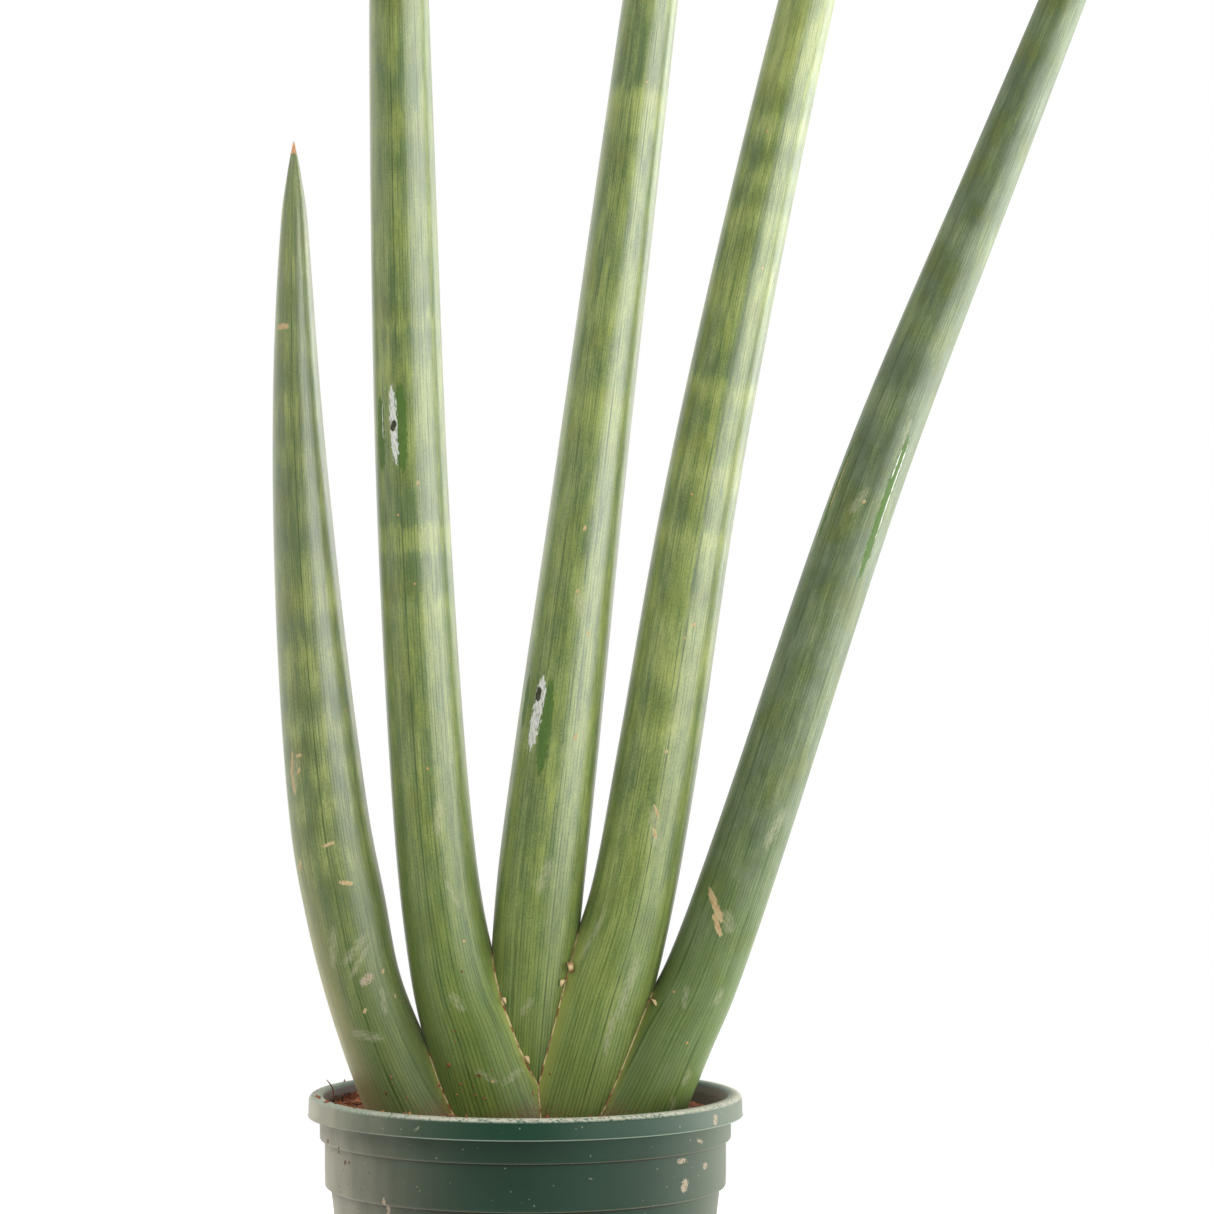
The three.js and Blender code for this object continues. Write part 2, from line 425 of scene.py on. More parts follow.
@dataclass(frozen=True)
class Blemish:
    """A mark on a round piece, in millimetres, with angles in degrees.

    The turn is from the front towards the right, and the slant is the mark's own lean to the right.
    """

    mark: Mark
    height: float
    turn: float
    length: float
    width: float
    slant: float = 0.0

    def draw(self, tree: Tree, spread: Socket, radius: float) -> tuple[Socket, Socket]:
        """Draw the mark with nearly straight sides, pointed ends and a streaky, ragged edge.

        Args:
            tree: The material's node tree.
            spread: The place on the unrolled surface, around and up, in millimetres.
            radius: The radius of that surface.

        Returns:
            The mask, and the streaks inside it.
        """
        look = LOOKS[self.mark]
        centre = (math.radians(self.turn) * radius, self.height, 0)
        shape = (2 / self.width, 2 / self.length, 0)
        away = add_node(tree, "VectorMath", {0: spread, 1: centre}, operation="SUBTRACT")
        leaning = {"Vector": away, "Angle": math.radians(self.slant)}
        away = add_node(tree, "VectorRotate", leaning, rotation_type="Z_AXIS")
        fine = (1.6, look.grain_up, 1)
        streaks = add_node(tree, "VectorMath", {0: away, 1: fine}, operation="MULTIPLY")
        streaks = add_node(tree, "TexNoise", {"Vector": streaks, "Scale": 1.0, "Detail": 5.0})
        away = add_node(tree, "VectorMath", {0: away, 1: shape}, operation="MULTIPLY")
        away = add_node(tree, "VectorMath", {0: away}, operation="ABSOLUTE")
        parts = add_node(tree, "SeparateXYZ", {0: away}).node.outputs
        side = add_node(tree, "Math", {0: parts["X"], 1: look.blunt}, operation="POWER")
        edge = add_node(tree, "Math", {0: parts["Y"], 1: 4.0}, operation="POWER")
        edge = add_node(tree, "Math", {0: edge, 1: side}, operation="ADD")
        edge = add_node(tree, "Math", {0: streaks, 1: look.ragged, 2: edge}, operation="MULTIPLY_ADD")
        limit = look.fill + look.ragged / 2
        faded = {"Value": edge, "From Min": limit, "From Max": limit - look.softness}
        return add_node(tree, "MapRange", {**faded, "To Max": look.strength}), streaks


def marks(mark: Mark, *rows: tuple[float, ...]) -> tuple[Blemish, ...]:
    """Return blemishes of one kind.

    Args:
        mark: Their kind.
        *rows: The height, turn, length, width and, where it leans, the slant of each.

    Returns:
        The blemishes.
    """
    return tuple(Blemish(mark, *row) for row in rows)


@dataclass(frozen=True)
class Tint:
    """A colour that is laid on where a value passes from one limit to another."""

    value: Socket
    start: float
    full: float
    weight: float
    colour: str


def lay_tints(tree: Tree, colour: Socket | Colour, tints: list[Tint]) -> Socket:
    """Lay tints over a colour, one over the other.

    Args:
        tree: The material's node tree.
        colour: The colour under the tints.
        tints: The tints.

    Returns:
        The colour with the tints.
    """
    for tint in tints:
        limits = {"From Min": tint.start, "From Max": tint.full, "To Max": tint.weight}
        mask = add_node(tree, "MapRange", {"Value": tint.value, **limits})
        colour = add_node(tree, "MixRGB", {"Fac": mask, "Color1": colour, "Color2": linear(tint.colour)})
    return colour


def lay_marks(
    tree: Tree,
    blemishes: tuple[Blemish, ...],
    spread: Socket,
    radius: float,
    finish: tuple[Socket, Socket],
) -> tuple[Socket, Socket, Socket]:
    """Lay blemishes over a finish, each kind over the one before it.

    Args:
        tree: The material's node tree.
        blemishes: The blemishes.
        spread: The place on the unrolled surface, around and up, in millimetres.
        radius: The radius of that surface.
        finish: The colour and the roughness under the blemishes.

    Returns:
        The colour and the roughness with the blemishes, and the mask of all the clean surface.
    """
    colour, roughness = finish
    clean = 1.0
    for blemish in sorted(blemishes, key=lambda one: list(Mark).index(one.mark)):
        look = LOOKS[blemish.mark]
        mask, streaks = blemish.draw(tree, spread, radius)
        own = add_node(tree, "ValToRGB", {"Fac": streaks})
        set_ramp(own, [(0.46, linear(look.colour)), (0.66, linear(look.streak))])
        colour = add_node(tree, "MixRGB", {"Fac": mask, "Color1": colour, "Color2": own})
        rough = {"Fac": mask, "Color1": roughness, "Color2": grey(look.roughness)}
        roughness = add_node(tree, "MixRGB", rough)
        bare = add_node(tree, "Math", {0: 1.0, 1: mask}, operation="SUBTRACT")
        clean = add_node(tree, "Math", {0: bare, 1: clean}, operation="MULTIPLY")
    return colour, roughness, clean


# ---------------------------------------------------------------- leaf skin

# Each noise on a leaf's skin: the share of the height that it follows, which draws it out along the
# leaf, its scale in parts a millimetre, its detail and its roughness.
LEAF_NOISES = {
    "grain": (1.0, 1.5, 3.0, 0.7),
    "smudges": (0.22, 0.3, 5.0, 0.62),
    "streaks": (0.012, 0.5, 3.0, 0.5),
    "patches": (1.0, 0.08, 3.0, 0.5),
    "teeth": (0.09, 0.9, 2.0, 0.5),
    "wander": (0.012, 0.4, 2.0, 0.5),
}


@dataclass(frozen=True)
class LeafSkin:
    """The waxy skin of a succulent leaf: satin, with bands across it and fine veins along it.

    The wax makes a broad, soft highlight and a grey bloom, and a faint sheen of dust pales the skin
    where it turns away. Where the wax is rubbed off, the green is deep. The veins lie about a millimetre
    apart. The young base is a fresher green, with no wax. Heights are in millimetres above the ground.
    """

    dark: str = "#3e551f"
    middle: str = "#606f31"
    pale: str = "#7b873e"
    vein: str = "#2c4214"
    bloom: str = "#858c70"
    fresh: str = "#576c2f"
    fresh_weight: float = 0.65
    margin: str = "#868f46"
    olive: str = "#6b6b33"
    tan: str = "#93865f"
    speck: str = "#b98355"
    soil: str = "#5d422c"
    dusty_side: float = 0.0
    bloom_weight: float = 0.12
    gloss: float = 0.85
    wax_heights: tuple[float, float] = (140.0, 300.0)
    under_gloss: float = 0.5
    base_gloss: float = 0.22
    base_heights: tuple[float, float] = (230.0, 130.0)
    fresh_heights: tuple[float, float] = (215.0, 125.0)
    soil_heights: tuple[float, float] = (128.0, 110.0)
    dry_tip: tuple[float, float] = (4.6, 3.6)
    sheen: str = "#aab08c"
    sheen_weight: float = 0.35
    vein_weight: float = 0.7
    speck_spacing: float = 10.0
    nominal_radius: float = 12.5
    veins: int = 74
    vein_wander: float = 9.0
    tooth: float = 9.0
    tooth_noises: tuple[str, ...] = ("teeth", "streaks")
    groove_line: tuple[float, float] = (0.3, 0.1)

    def material(self, leaf: "Leaf") -> bpy.types.Material:
        """Make the skin of one leaf.

        Args:
            leaf: The leaf, which gives the bands, grooves, blemishes and the height of its tip.

        Returns:
            The material. It reads the attributes that the leaf writes on its mesh.
        """
        material, tree = new_material(leaf.node + "_skin")
        straight = add_node(tree, "Attribute", attribute_name="straight").node.outputs["Vector"]
        _, height, turn = round_place(tree, straight)
        flat = add_node(tree, "VectorMath", {0: straight, 1: (1, 1, 0)}, operation="MULTIPLY")
        unit = add_node(tree, "VectorMath", {0: flat}, operation="NORMALIZE")
        ring = add_node(tree, "VectorMath", {0: unit, "Scale": self.nominal_radius}, operation="SCALE")
        rise = add_node(tree, "CombineXYZ", {"Z": height})
        skin = add_node(tree, "VectorMath", {0: ring, 1: rise}, operation="ADD")
        seeded = add_node(tree, "VectorMath", {0: skin, 1: (leaf.seed, 0, 0)}, operation="ADD")
        noise = {}
        for name, (follow, scale, detail, rough) in LEAF_NOISES.items():
            place = add_node(tree, "VectorMath", {0: seeded, 1: (1, 1, follow)}, operation="MULTIPLY")
            inputs = {"Vector": place, "Scale": scale, "Detail": detail, "Roughness": rough}
            noise[name] = add_node(tree, "TexNoise", inputs)
        grain, patches = noise["grain"], noise["patches"]
        colour = add_node(tree, "ValToRGB", {"Fac": self._tone(tree, leaf, height, noise)})
        tones = [(0.08, self.dark), (0.5, self.middle), (0.92, self.pale)]
        set_ramp(colour, [(place, linear(tone)) for place, tone in tones])

        start, full = self.base_heights
        base = add_node(tree, "MapRange", {"Value": height, "From Min": start, "From Max": full})
        veins = self._veins(tree, turn, base, noise)
        # Dust clings to the left side of the base and fades out before the rear.
        side = add_node(tree, "MapRange", {"Value": turn, "From Min": -0.15, "From Max": -1.2})
        rear = add_node(tree, "MapRange", {"Value": turn, "From Min": -2.8, "From Max": -1.6})
        for limit in (base, rear):
            side = add_node(tree, "Math", {0: side, 1: limit}, operation="MULTIPLY")
        margin = add_node(tree, "Attribute", attribute_name="sheath").node.outputs["Fac"]
        start, full = self.soil_heights
        soil = add_node(tree, "MapRange", {"Value": height, "From Min": start, "From Max": full})
        soil = add_node(tree, "Math", {0: soil, 1: grain}, operation="MULTIPLY")
        specks = dots(tree, seeded, 1 / self.speck_spacing, (0.05, 0.03), 0.62)
        tints = [
            Tint(patches, 0.35, 0.65, self.bloom_weight, self.bloom),
            Tint(patches, 0.48, 0.3, 0.35, self.olive),
            Tint(height, *self.fresh_heights, self.fresh_weight, self.fresh),
            Tint(veins, 0.0, 1.0, self.vein_weight, self.vein),
            Tint(self._grooves(tree, leaf, ring, noise["teeth"]), 0.0, 1.0, 0.85, self.vein),
            Tint(margin, 0.0, 1.0, 0.9, self.margin),
            Tint(side, 0.1, 0.9, self.dusty_side, self.tan),
            Tint(soil, 0.3, 0.55, 0.9, self.soil),
            Tint(specks, 0.0, 1.0, 0.85, self.speck),
            Tint(height, *(leaf.tip_height - below for below in self.dry_tip), 1.0, self.speck),
        ]
        colour = lay_tints(tree, colour, tints)

        around = add_node(tree, "Math", {0: turn, 1: self.nominal_radius}, operation="MULTIPLY")
        spread = add_node(tree, "CombineXYZ", {"X": around, "Y": height})
        worn = {"Value": patches, "From Min": 0.3, "From Max": 0.7, "To Min": 0.33, "To Max": 0.41}
        finish = (colour, add_node(tree, "MapRange", worn))
        colour, roughness, clean = lay_marks(tree, leaf.blemishes, spread, self.nominal_radius, finish)
        start, full = self.wax_heights
        wax = {"Value": height, "From Min": start, "From Max": full, "To Max": self.gloss}
        wax = add_node(tree, "MapRange", wax)
        wax = add_node(tree, "Math", {0: wax, 1: clean}, operation="MULTIPLY")
        # A leaf that is equally dull all over has one plain value.
        shine = self.under_gloss
        if self.under_gloss != self.base_gloss:
            dulled = {"Value": base, "To Min": self.under_gloss, "To Max": self.base_gloss}
            shine = add_node(tree, "MapRange", dulled)
        relief = add_node(tree, "Math", {0: veins, 1: -1.0, 2: grain}, operation="MULTIPLY_ADD")
        bump = add_node(tree, "Bump", {"Strength": 0.4, "Distance": 0.12 * MM, "Height": relief})
        finish_surface(
            tree,
            {
                "Base Color": colour,
                "Roughness": roughness,
                "Normal": bump,
                "IOR": 1.45,
                "Specular IOR Level": shine,
                "Coat Weight": wax,
                "Coat Roughness": 0.33,
                "Sheen Weight": self.sheen_weight,
                "Sheen Roughness": 0.5,
                "Sheen Tint": linear(self.sheen),
            },
        )
        return material

    def _tone(self, tree: Tree, leaf: "Leaf", height: Socket, noise: dict[str, Socket]) -> Socket:
        """Draw the cross bands, whose edges run out in fine teeth along the veins.

        Args:
            tree: The material's node tree.
            leaf: The leaf, which gives the bands.
            height: The height above the ground, in millimetres.
            noise: The noises by name.

        Returns:
            The tone, from 0 for a dark band to 1 for a pale one.
        """
        jagged = height
        for name in self.tooth_noises:
            shift = {0: noise[name], 1: self.tooth, 2: jagged}
            jagged = add_node(tree, "Math", shift, operation="MULTIPLY_ADD")
        low, high = leaf.bands[0][0], leaf.bands[-1][0]
        span = {"Value": jagged, "From Min": low + self.tooth, "From Max": high + self.tooth}
        tone = add_node(tree, "ValToRGB", {"Fac": add_node(tree, "MapRange", span)})
        set_ramp(tone, [((at - low) / (high - low), grey(level)) for at, level in leaf.bands], "EASE")
        weights = {"streaks": 0.9, "grain": 1.2, "smudges": 1.8}
        for name, weight in weights.items():
            varied = {0: noise[name], 1: weight, 2: tone}
            tone = add_node(tree, "Math", varied, operation="MULTIPLY_ADD")
        return add_node(tree, "Math", {0: tone, 1: sum(weights.values()) / 2}, operation="SUBTRACT")

    def _veins(self, tree: Tree, turn: Socket, base: Socket, noise: dict[str, Socket]) -> Socket:
        """Draw the veins as thin dark lines that wander, and that come and go above the base.

        Args:
            tree: The material's node tree.
            turn: The turn around the leaf, in radians.
            base: A value that is 1 at the base.
            noise: The noises by name.

        Returns:
            The veins' mask.
        """
        phase = add_node(tree, "Math", {0: noise["wander"], 1: self.vein_wander}, operation="MULTIPLY")
        phase = {0: turn, 1: float(self.veins), 2: phase}
        phase = add_node(tree, "Math", phase, operation="MULTIPLY_ADD")
        wave = add_node(tree, "Math", {0: phase}, operation="SINE")
        line = add_node(tree, "MapRange", {"Value": wave, "From Min": 0.45, "From Max": 0.95})
        dashes = add_node(tree, "MapRange", {"Value": noise["teeth"], "From Min": 0.4, "From Max": 0.56})
        steady = add_node(tree, "Math", {0: base, 1: 0.75}, operation="MULTIPLY")
        dashes = add_node(tree, "Math", {0: dashes, 1: steady}, operation="MAXIMUM")
        return add_node(tree, "Math", {0: line, 1: dashes}, operation="MULTIPLY")

    def _grooves(self, tree: Tree, leaf: "Leaf", ring: Socket, teeth: Socket) -> Socket:
        """Draw the thin dark line at the bottom of each groove.

        Args:
            tree: The material's node tree.
            leaf: The leaf, which gives the grooves.
            ring: The place around the leaf, in millimetres from its middle.
            teeth: The noise that makes the lines come and go.

        Returns:
            The lines' mask.
        """
        nearest = 1e3
        for turn in leaf.groove_turns():
            foot = (self.nominal_radius * math.sin(turn), -self.nominal_radius * math.cos(turn), 0)
            away = add_node(tree, "VectorMath", {0: ring, 1: foot}, operation="DISTANCE")
            away = away.node.outputs["Value"]
            nearest = add_node(tree, "Math", {0: away, 1: nearest}, operation="MINIMUM")
        start, full = self.groove_line
        line = add_node(tree, "MapRange", {"Value": nearest, "From Min": start, "From Max": full})
        weight = add_node(tree, "MapRange", {"Value": teeth, "From Min": 0.25, "From Max": 0.55})
        return add_node(tree, "Math", {0: line, 1: weight}, operation="MULTIPLY")


# ---------------------------------------------------------------- leaves


@dataclass(frozen=True)
class Station:
    """A place on a leaf's spine and the leaf's girth there, in millimetres."""

    across: float
    depth: float
    height: float
    width: float
    thickness: float


def spine(*rows: tuple[float, ...]) -> tuple[Station, ...]:
    """Return the stations of a leaf, each row in the order of a Station's fields."""
    return tuple(Station(*row) for row in rows)


@dataclass
class Leaf:
    """One round, pointed leaf, whose base clasps the younger leaves.

    The curve through the stations is that of the girth squared, so the leaf rounds off to its point. The
    last millimetres are drawn in to a fine, dry spine. Lengths are in millimetres, angles in degrees.
    """

    node: str
    stations: tuple[Station, ...]
    grooves: tuple[float, ...]
    bands: tuple[tuple[float, float], ...]
    blemishes: tuple[Blemish, ...] = ()
    skin: LeafSkin = field(default_factory=LeafSkin)
    seed: float = 0.0
    sides: int = 64
    steps: int = 60
    crowding: float = 1.8
    spine_length: float = 22.0
    groove_depth: float = 0.006
    clasp_height: float = 250.0
    clearance: float = 0.2
    margin_lowest: float = 108.0
    margin_width: float = 3.0
    margin_angle: float = 38.0
    smooth_angle: float = 40.0
    straight_samples: int = 600

    @property
    def tip_height(self) -> float:
        """Return the height of the leaf's point, in millimetres."""
        return self.stations[-1].height

    def groove_corners(self) -> list[int]:
        """Return the number of the ring's corner that lies nearest each groove."""
        # Corner 0 of a circle primitive lies towards +Y, and the corners run on towards -X.
        return [round((180 - turn) / 360 * self.sides) % self.sides for turn in self.grooves]

    def groove_turns(self) -> list[float]:
        """Return each groove's true turn from the front towards the right, in radians."""
        return [math.pi - corner * math.tau / self.sides for corner in self.groove_corners()]

    def curve(self, places: np.ndarray) -> tuple[np.ndarray, np.ndarray]:
        """Find the spine and the girth at some places.

        Args:
            places: Where, from 0 at the buried base to 1 at the point.

        Returns:
            The spine's points and the half width and half thickness, in metres, one a row.
        """
        rows = [(s.across, s.depth, s.height, s.width**2, s.thickness**2) for s in self.stations]
        drawn = catmull_rom(np.array(rows), places)
        to_tip = np.clip((self.tip_height - drawn[:, 2]) / self.spine_length, 0, 1)
        girth = np.sqrt(np.maximum(drawn[:, 3:], 0)) / 2 * to_tip[:, None] ** 0.3
        return drawn[:, :3] * MM, girth * MM

    def body(self, name: str, extra: float = 0.0, top: float = 1e9) -> Piece:
        """Draw the uncut leaf.

        Args:
            name: The piece's name.
            extra: How much larger the leaf is on every side, in millimetres.
            top: The height in millimetres above which nothing is drawn.

        Returns:
            The piece.
        """
        places = 1 - (1 - np.linspace(0, 1, self.steps + 1)) ** self.crowding
        spine, girth = self.curve(places)
        heading = np.gradient(spine, axis=0)
        lean = np.arctan2(heading[:, 0], heading[:, 2])
        rings = []
        for centre, (half_width, half_depth), angle in zip(spine, girth, lean):
            if centre[2] > top * MM:
                break
            grow = extra * MM if half_width > 0 else 0
            rings.append(Ring(Vector(centre), half_width + grow, half_depth + grow, float(angle)))
        dents = {corner: self.groove_depth for corner in self.groove_corners()}
        piece = loft(name, rings, self.sides, dents)
        apply_modifier(piece, "SUBSURF", levels=1, render_levels=1)
        return piece

    def build(self, younger: list["Leaf"]) -> Piece:
        """Build the leaf, cut its base to clasp the younger leaves, and dress it.

        Args:
            younger: The leaves that it clasps.

        Returns:
            The finished piece.
        """
        piece = self.body(self.node)
        rooms = [leaf.body("room", self.clearance, self.clasp_height) for leaf in reversed(younger)]
        for room in rooms:
            apply_modifier(piece, "BOOLEAN", object=room, operation="DIFFERENCE", solver="EXACT")
        for room in rooms:
            bpy.data.objects.remove(room)
        self._write_sheath(piece)
        self._write_straight(piece)
        activate(piece)
        bpy.ops.object.shade_smooth_by_angle(angle=math.radians(self.smooth_angle))
        dress(piece, self.skin.material(self), "leaf_skin", self.node)
        return piece

    def _write_straight(self, piece: Piece) -> None:
        """Write each corner's place on the leaf as if the leaf stood straight, in millimetres.

        Args:
            piece: The leaf.
        """
        spine, _ = self.curve(np.linspace(0, 1, self.straight_samples))
        heading = np.gradient(spine, axis=0)
        heading /= np.linalg.norm(heading, axis=1)[:, None]
        corners = np.empty(len(piece.data.vertices) * 3)
        piece.data.vertices.foreach_get("co", corners)
        corners = corners.reshape(-1, 3)
        away = ((corners[:, None, :] - spine[None, :, :]) ** 2).sum(axis=2)
        nearest = away.argmin(axis=1)
        tangent = heading[nearest]
        right = np.cross(np.array([0.0, 1.0, 0.0]), tangent)
        right /= np.linalg.norm(right, axis=1)[:, None]
        back = np.cross(tangent, right)
        offset = corners - spine[nearest]
        ahead = (offset * tangent).sum(axis=1)
        rise = spine[nearest][:, 2] + ahead * tangent[:, 2]
        straight = np.stack([(offset * right).sum(axis=1), (offset * back).sum(axis=1), rise], axis=1)
        attribute = piece.data.attributes.new("straight", "FLOAT_VECTOR", "POINT")
        attribute.data.foreach_set("vector", (straight / MM).astype(np.float32).ravel())

    def select_margin(self, piece: Piece) -> np.ndarray:
        """Select only the sharp edges that the cuts left above the mix, and return their ends.

        Args:
            piece: The leaf, cut to clasp the younger ones.

        Returns:
            The ends, in metres, one a row.
        """
        activate(piece)
        bpy.ops.object.mode_set(mode="EDIT")
        bpy.ops.mesh.select_mode(type="EDGE")
        bpy.ops.mesh.select_all(action="DESELECT")
        bpy.ops.mesh.edges_select_sharp(sharpness=math.radians(self.margin_angle))
        bpy.ops.object.mode_set(mode="OBJECT")
        mesh = piece.data
        mesh.polygons.foreach_set("select", [False] * len(mesh.polygons))
        for corner in mesh.vertices:
            corner.select = corner.select and corner.co.z > self.margin_lowest * MM
        for edge in mesh.edges:
            edge.select = edge.select and all(mesh.vertices[i].select for i in edge.vertices)
        return np.array([corner.co for corner in mesh.vertices if corner.select]).reshape(-1, 3)

    def _write_sheath(self, piece: Piece) -> None:
        """Write 1 on each corner at the torn margin of the sheath, fading to 0 a little way inside.

        Args:
            piece: The leaf, cut to clasp the younger ones.
        """
        corners = np.array([vertex.co for vertex in piece.data.vertices])
        values = np.zeros(len(corners), dtype=np.float32)
        margin = self.select_margin(piece)
        low = np.flatnonzero(corners[:, 2] < self.clasp_height * MM)
        if len(margin):
            away = np.linalg.norm(corners[low][:, None, :] - margin[None, :, :], axis=2).min(axis=1)
            values[low] = np.clip(1 - away / (self.margin_width * MM), 0, 1)
        attribute = piece.data.attributes.new("sheath", "FLOAT", "POINT")
        attribute.data.foreach_set("value", values)


def leaves() -> list[Leaf]:
    """List the five leaves. Each clasps the bases of all those before it.

    Returns:
        The leaves, youngest first.
    """
    centre = Leaf(
        node="leaf_centre",
        stations=spine(
            (-2, 0, 82, 20, 18), (0, 0, 124, 25, 20.5), (4, 0, 179, 28.2, 25.6),
            (10, 1, 231, 27.2, 26), (20.6, 3, 317, 23.1, 22.5), (33.6, 7, 420, 19.7, 19.3),
            (47.5, 12, 529, 15.6, 15.4), (65, 19, 664, 0, 0),
        ),
        grooves=(-29, 24, 75, 128, 180, -130, -80),
        bands=(
            (100, 0.5), (229, 0.45), (261, 0.4), (284, 0.5), (299, 0.42), (324, 0.4), (344, 0.68),
            (351, 0.4), (361, 0.38), (371, 0.55), (399, 0.42), (417, 0.5), (425, 0.4), (433, 0.8),
            (440, 0.85), (445, 0.2), (455, 0.3), (479, 0.45), (504, 0.3), (519, 0.7), (544, 0.35),
            (569, 0.6), (599, 0.35), (664, 0.5),
        ),
        blemishes=(
            *marks(Mark.RUB, (238, -20, 32, 4.2), (245, -62, 18, 2.4)),
            *marks(Mark.FLAKE, (242, -36, 26, 4.4, 4)),
            *marks(Mark.HOLE, (248, -37, 5, 2.4)),
            *marks(
                Mark.SCAB, (302, 2, 2, 1.2), (282, 3, 1.4, 1.6), (269, 28, 2, 1.0),
                (236, 26, 2.6, 1.4, 20),
            ),
            *marks(Mark.SCUFF, (278, 8, 9, 6, -20), (191, 5, 14, 5, 12), (149, -5, 8, 4, 30)),
        ),
        skin=LeafSkin(middle="#667636", pale="#828e45", gloss=1.0),
        seed=11.0,
    )
    right_inner = Leaf(
        node="leaf_right_inner",
        stations=spine(
            (6, 0, 82, 30, 25), (14.4, 0, 114, 33, 29), (24, 0, 148, 31.5, 28.8),
            (33.9, 0, 181, 27.4, 26.5), (42.6, 1, 228, 26.5, 25.6), (57.2, 2, 317, 23.7, 23),
            (78.6, 4, 420, 20, 19.5), (103, 7, 524, 15.5, 15.3), (129, 11, 634, 0, 0),
        ),
        grooves=(14, 66, 115, 170, -140, -85),
        bands=(
            (100, 0.55), (199, 0.5), (229, 0.45), (239, 0.6), (247, 0.4), (257, 0.66), (271, 0.6),
            (283, 0.38), (291, 0.45), (299, 0.75), (305, 0.35), (311, 0.4), (319, 0.72), (331, 0.42),
            (340, 0.35), (347, 0.75), (353, 0.15), (361, 0.3), (377, 0.62), (393, 0.4), (401, 0.7),
            (408, 0.25), (414, 0.6), (422, 0.12), (431, 0.7), (437, 0.35), (449, 0.75), (479, 0.6),
            (509, 0.35), (539, 0.6), (634, 0.5),
        ),
        blemishes=(
            *marks(
                Mark.SCUFF, (207, 11, 15, 5, -14), (320, 18, 6, 7), (169, -42, 22, 3, 10),
                (157, 27, 24, 4.5, 2), (142, 20, 16, 3, -3),
            ),
            *marks(
                Mark.SCAB, (212, 10, 5, 1, -30), (205, 13, 4, 1.2, -25), (272, 22, 1.6, 1.6),
                (231, 10, 1.4, 1.2),
            ),
        ),
        skin=LeafSkin(
            dark="#415622", middle="#677736", pale="#858f4a", margin="#90994c", fresh="#62763a",
            gloss=0.7,
        ),
        margin_width=5.5,
        seed=23.0,
    )
    left_inner = Leaf(
        node="leaf_left_inner",
        stations=spine(
            (2, 0, 82, 38, 32), (-8.5, 0, 114, 38, 33.5), (-15.8, 0, 137, 33.2, 32),
            (-24, 0, 163, 27.6, 27.4), (-30.4, -1, 214, 25.1, 24.6), (-36.4, -3, 317, 23.2, 23),
            (-39.6, -7, 439, 20.3, 20), (-41.5, -11, 554, 14.8, 14.6), (-43, -14, 644, 0, 0),
        ),
        grooves=(-15, 33, 80, 130, -175, -120, -68),
        bands=(
            (100, 0.5), (199, 0.42), (235, 0.5), (245, 0.4), (261, 0.55), (269, 0.5), (277, 0.66),
            (283, 0.35), (293, 0.2), (296, 0.7), (302, 0.76), (305, 0.2), (310, 0.25), (321, 0.45),
            (337, 0.6), (342, 0.5), (352, 0.66), (359, 0.5), (364, 0.3), (368, 0.66), (373, 0.25),
            (383, 0.35), (394, 0.6), (409, 0.45), (419, 0.3), (431, 0.6), (444, 0.3), (457, 0.5),
            (499, 0.3), (529, 0.62), (644, 0.45),
        ),
        blemishes=(
            *marks(Mark.RUB, (335, -12, 30, 4.6), (333, -52, 25, 4.4)),
            *marks(Mark.FLAKE, (336, -25, 28, 3.4, -2), (337, -47, 12, 0.5)),
            *marks(Mark.HOLE, (335.5, -25, 4, 2.4, 15)),
            *marks(
                Mark.SCUFF, (210, 12, 15, 5, 8), (228, 42, 4, 3), (185, 20, 12, 2.5, -20),
                (127, 2, 8, 2.5, -35), (151, -3, 8, 4, -20), (124.5, 30, 3, 9, -20),
            ),
            *marks(Mark.SCAB, (317, 12, 1.4, 1.4)),
        ),
        seed=37.0,
    )
    right_outer = Leaf(
        node="leaf_right_outer",
        stations=spine(
            (19, 0, 82, 36, 34), (36.2, 0, 115, 30, 31.5), (47.1, 0, 138, 27, 28),
            (57.7, 0, 160, 24.4, 25), (74.9, -1, 209, 23.1, 23.5), (110.6, -3, 317, 21.2, 21.5),
            (151.4, -7, 420, 16.6, 16.6), (189.2, -12, 514, 12, 12), (224, -17, 599, 0, 0),
        ),
        grooves=(-40, 34, 100, 150, -155, -95),
        bands=(
            (100, 0.5), (199, 0.42), (259, 0.4), (289, 0.35), (309, 0.45), (331, 0.2), (342, 0.6),
            (351, 0.15), (364, 0.6), (384, 0.3), (396, 0.62), (403, 0.2), (414, 0.42), (435, 0.3),
            (446, 0.2), (457, 0.5), (479, 0.3), (509, 0.55), (539, 0.3), (599, 0.45),
        ),
        blemishes=(
            *marks(Mark.RUB, (311, 37, 48, 3.6), (311, -66, 32, 2.4)),
            *marks(Mark.FLAKE, (317, 43, 34, 0.6), (325, 33, 10, 0.6)),
            *marks(
                Mark.SCAB, (313, -62, 20, 0.7), (180.5, -22, 13, 2.8, -46), (175, -8, 8, 2.2, -40),
                (311, 0, 1.4, 1.4),
            ),
            *marks(
                Mark.SCUFF, (335, 30, 10, 2.5), (311, -8, 12, 5, 20), (177, 6, 9, 6, -40),
                (208, 30, 16, 6, 10), (151, -12, 8, 3, -20), (155, 35, 6, 4), (130, 41, 6, 4),
                (121, 37, 7, 3, -25),
            ),
        ),
        skin=LeafSkin(
            dark="#3a4a2a", middle="#4f5f36", pale="#687549", bloom="#868c80", fresh="#5b7034",
            bloom_weight=0.22, gloss=0.36, under_gloss=0.22, sheen_weight=0.15,
        ),
        seed=51.0,
    )
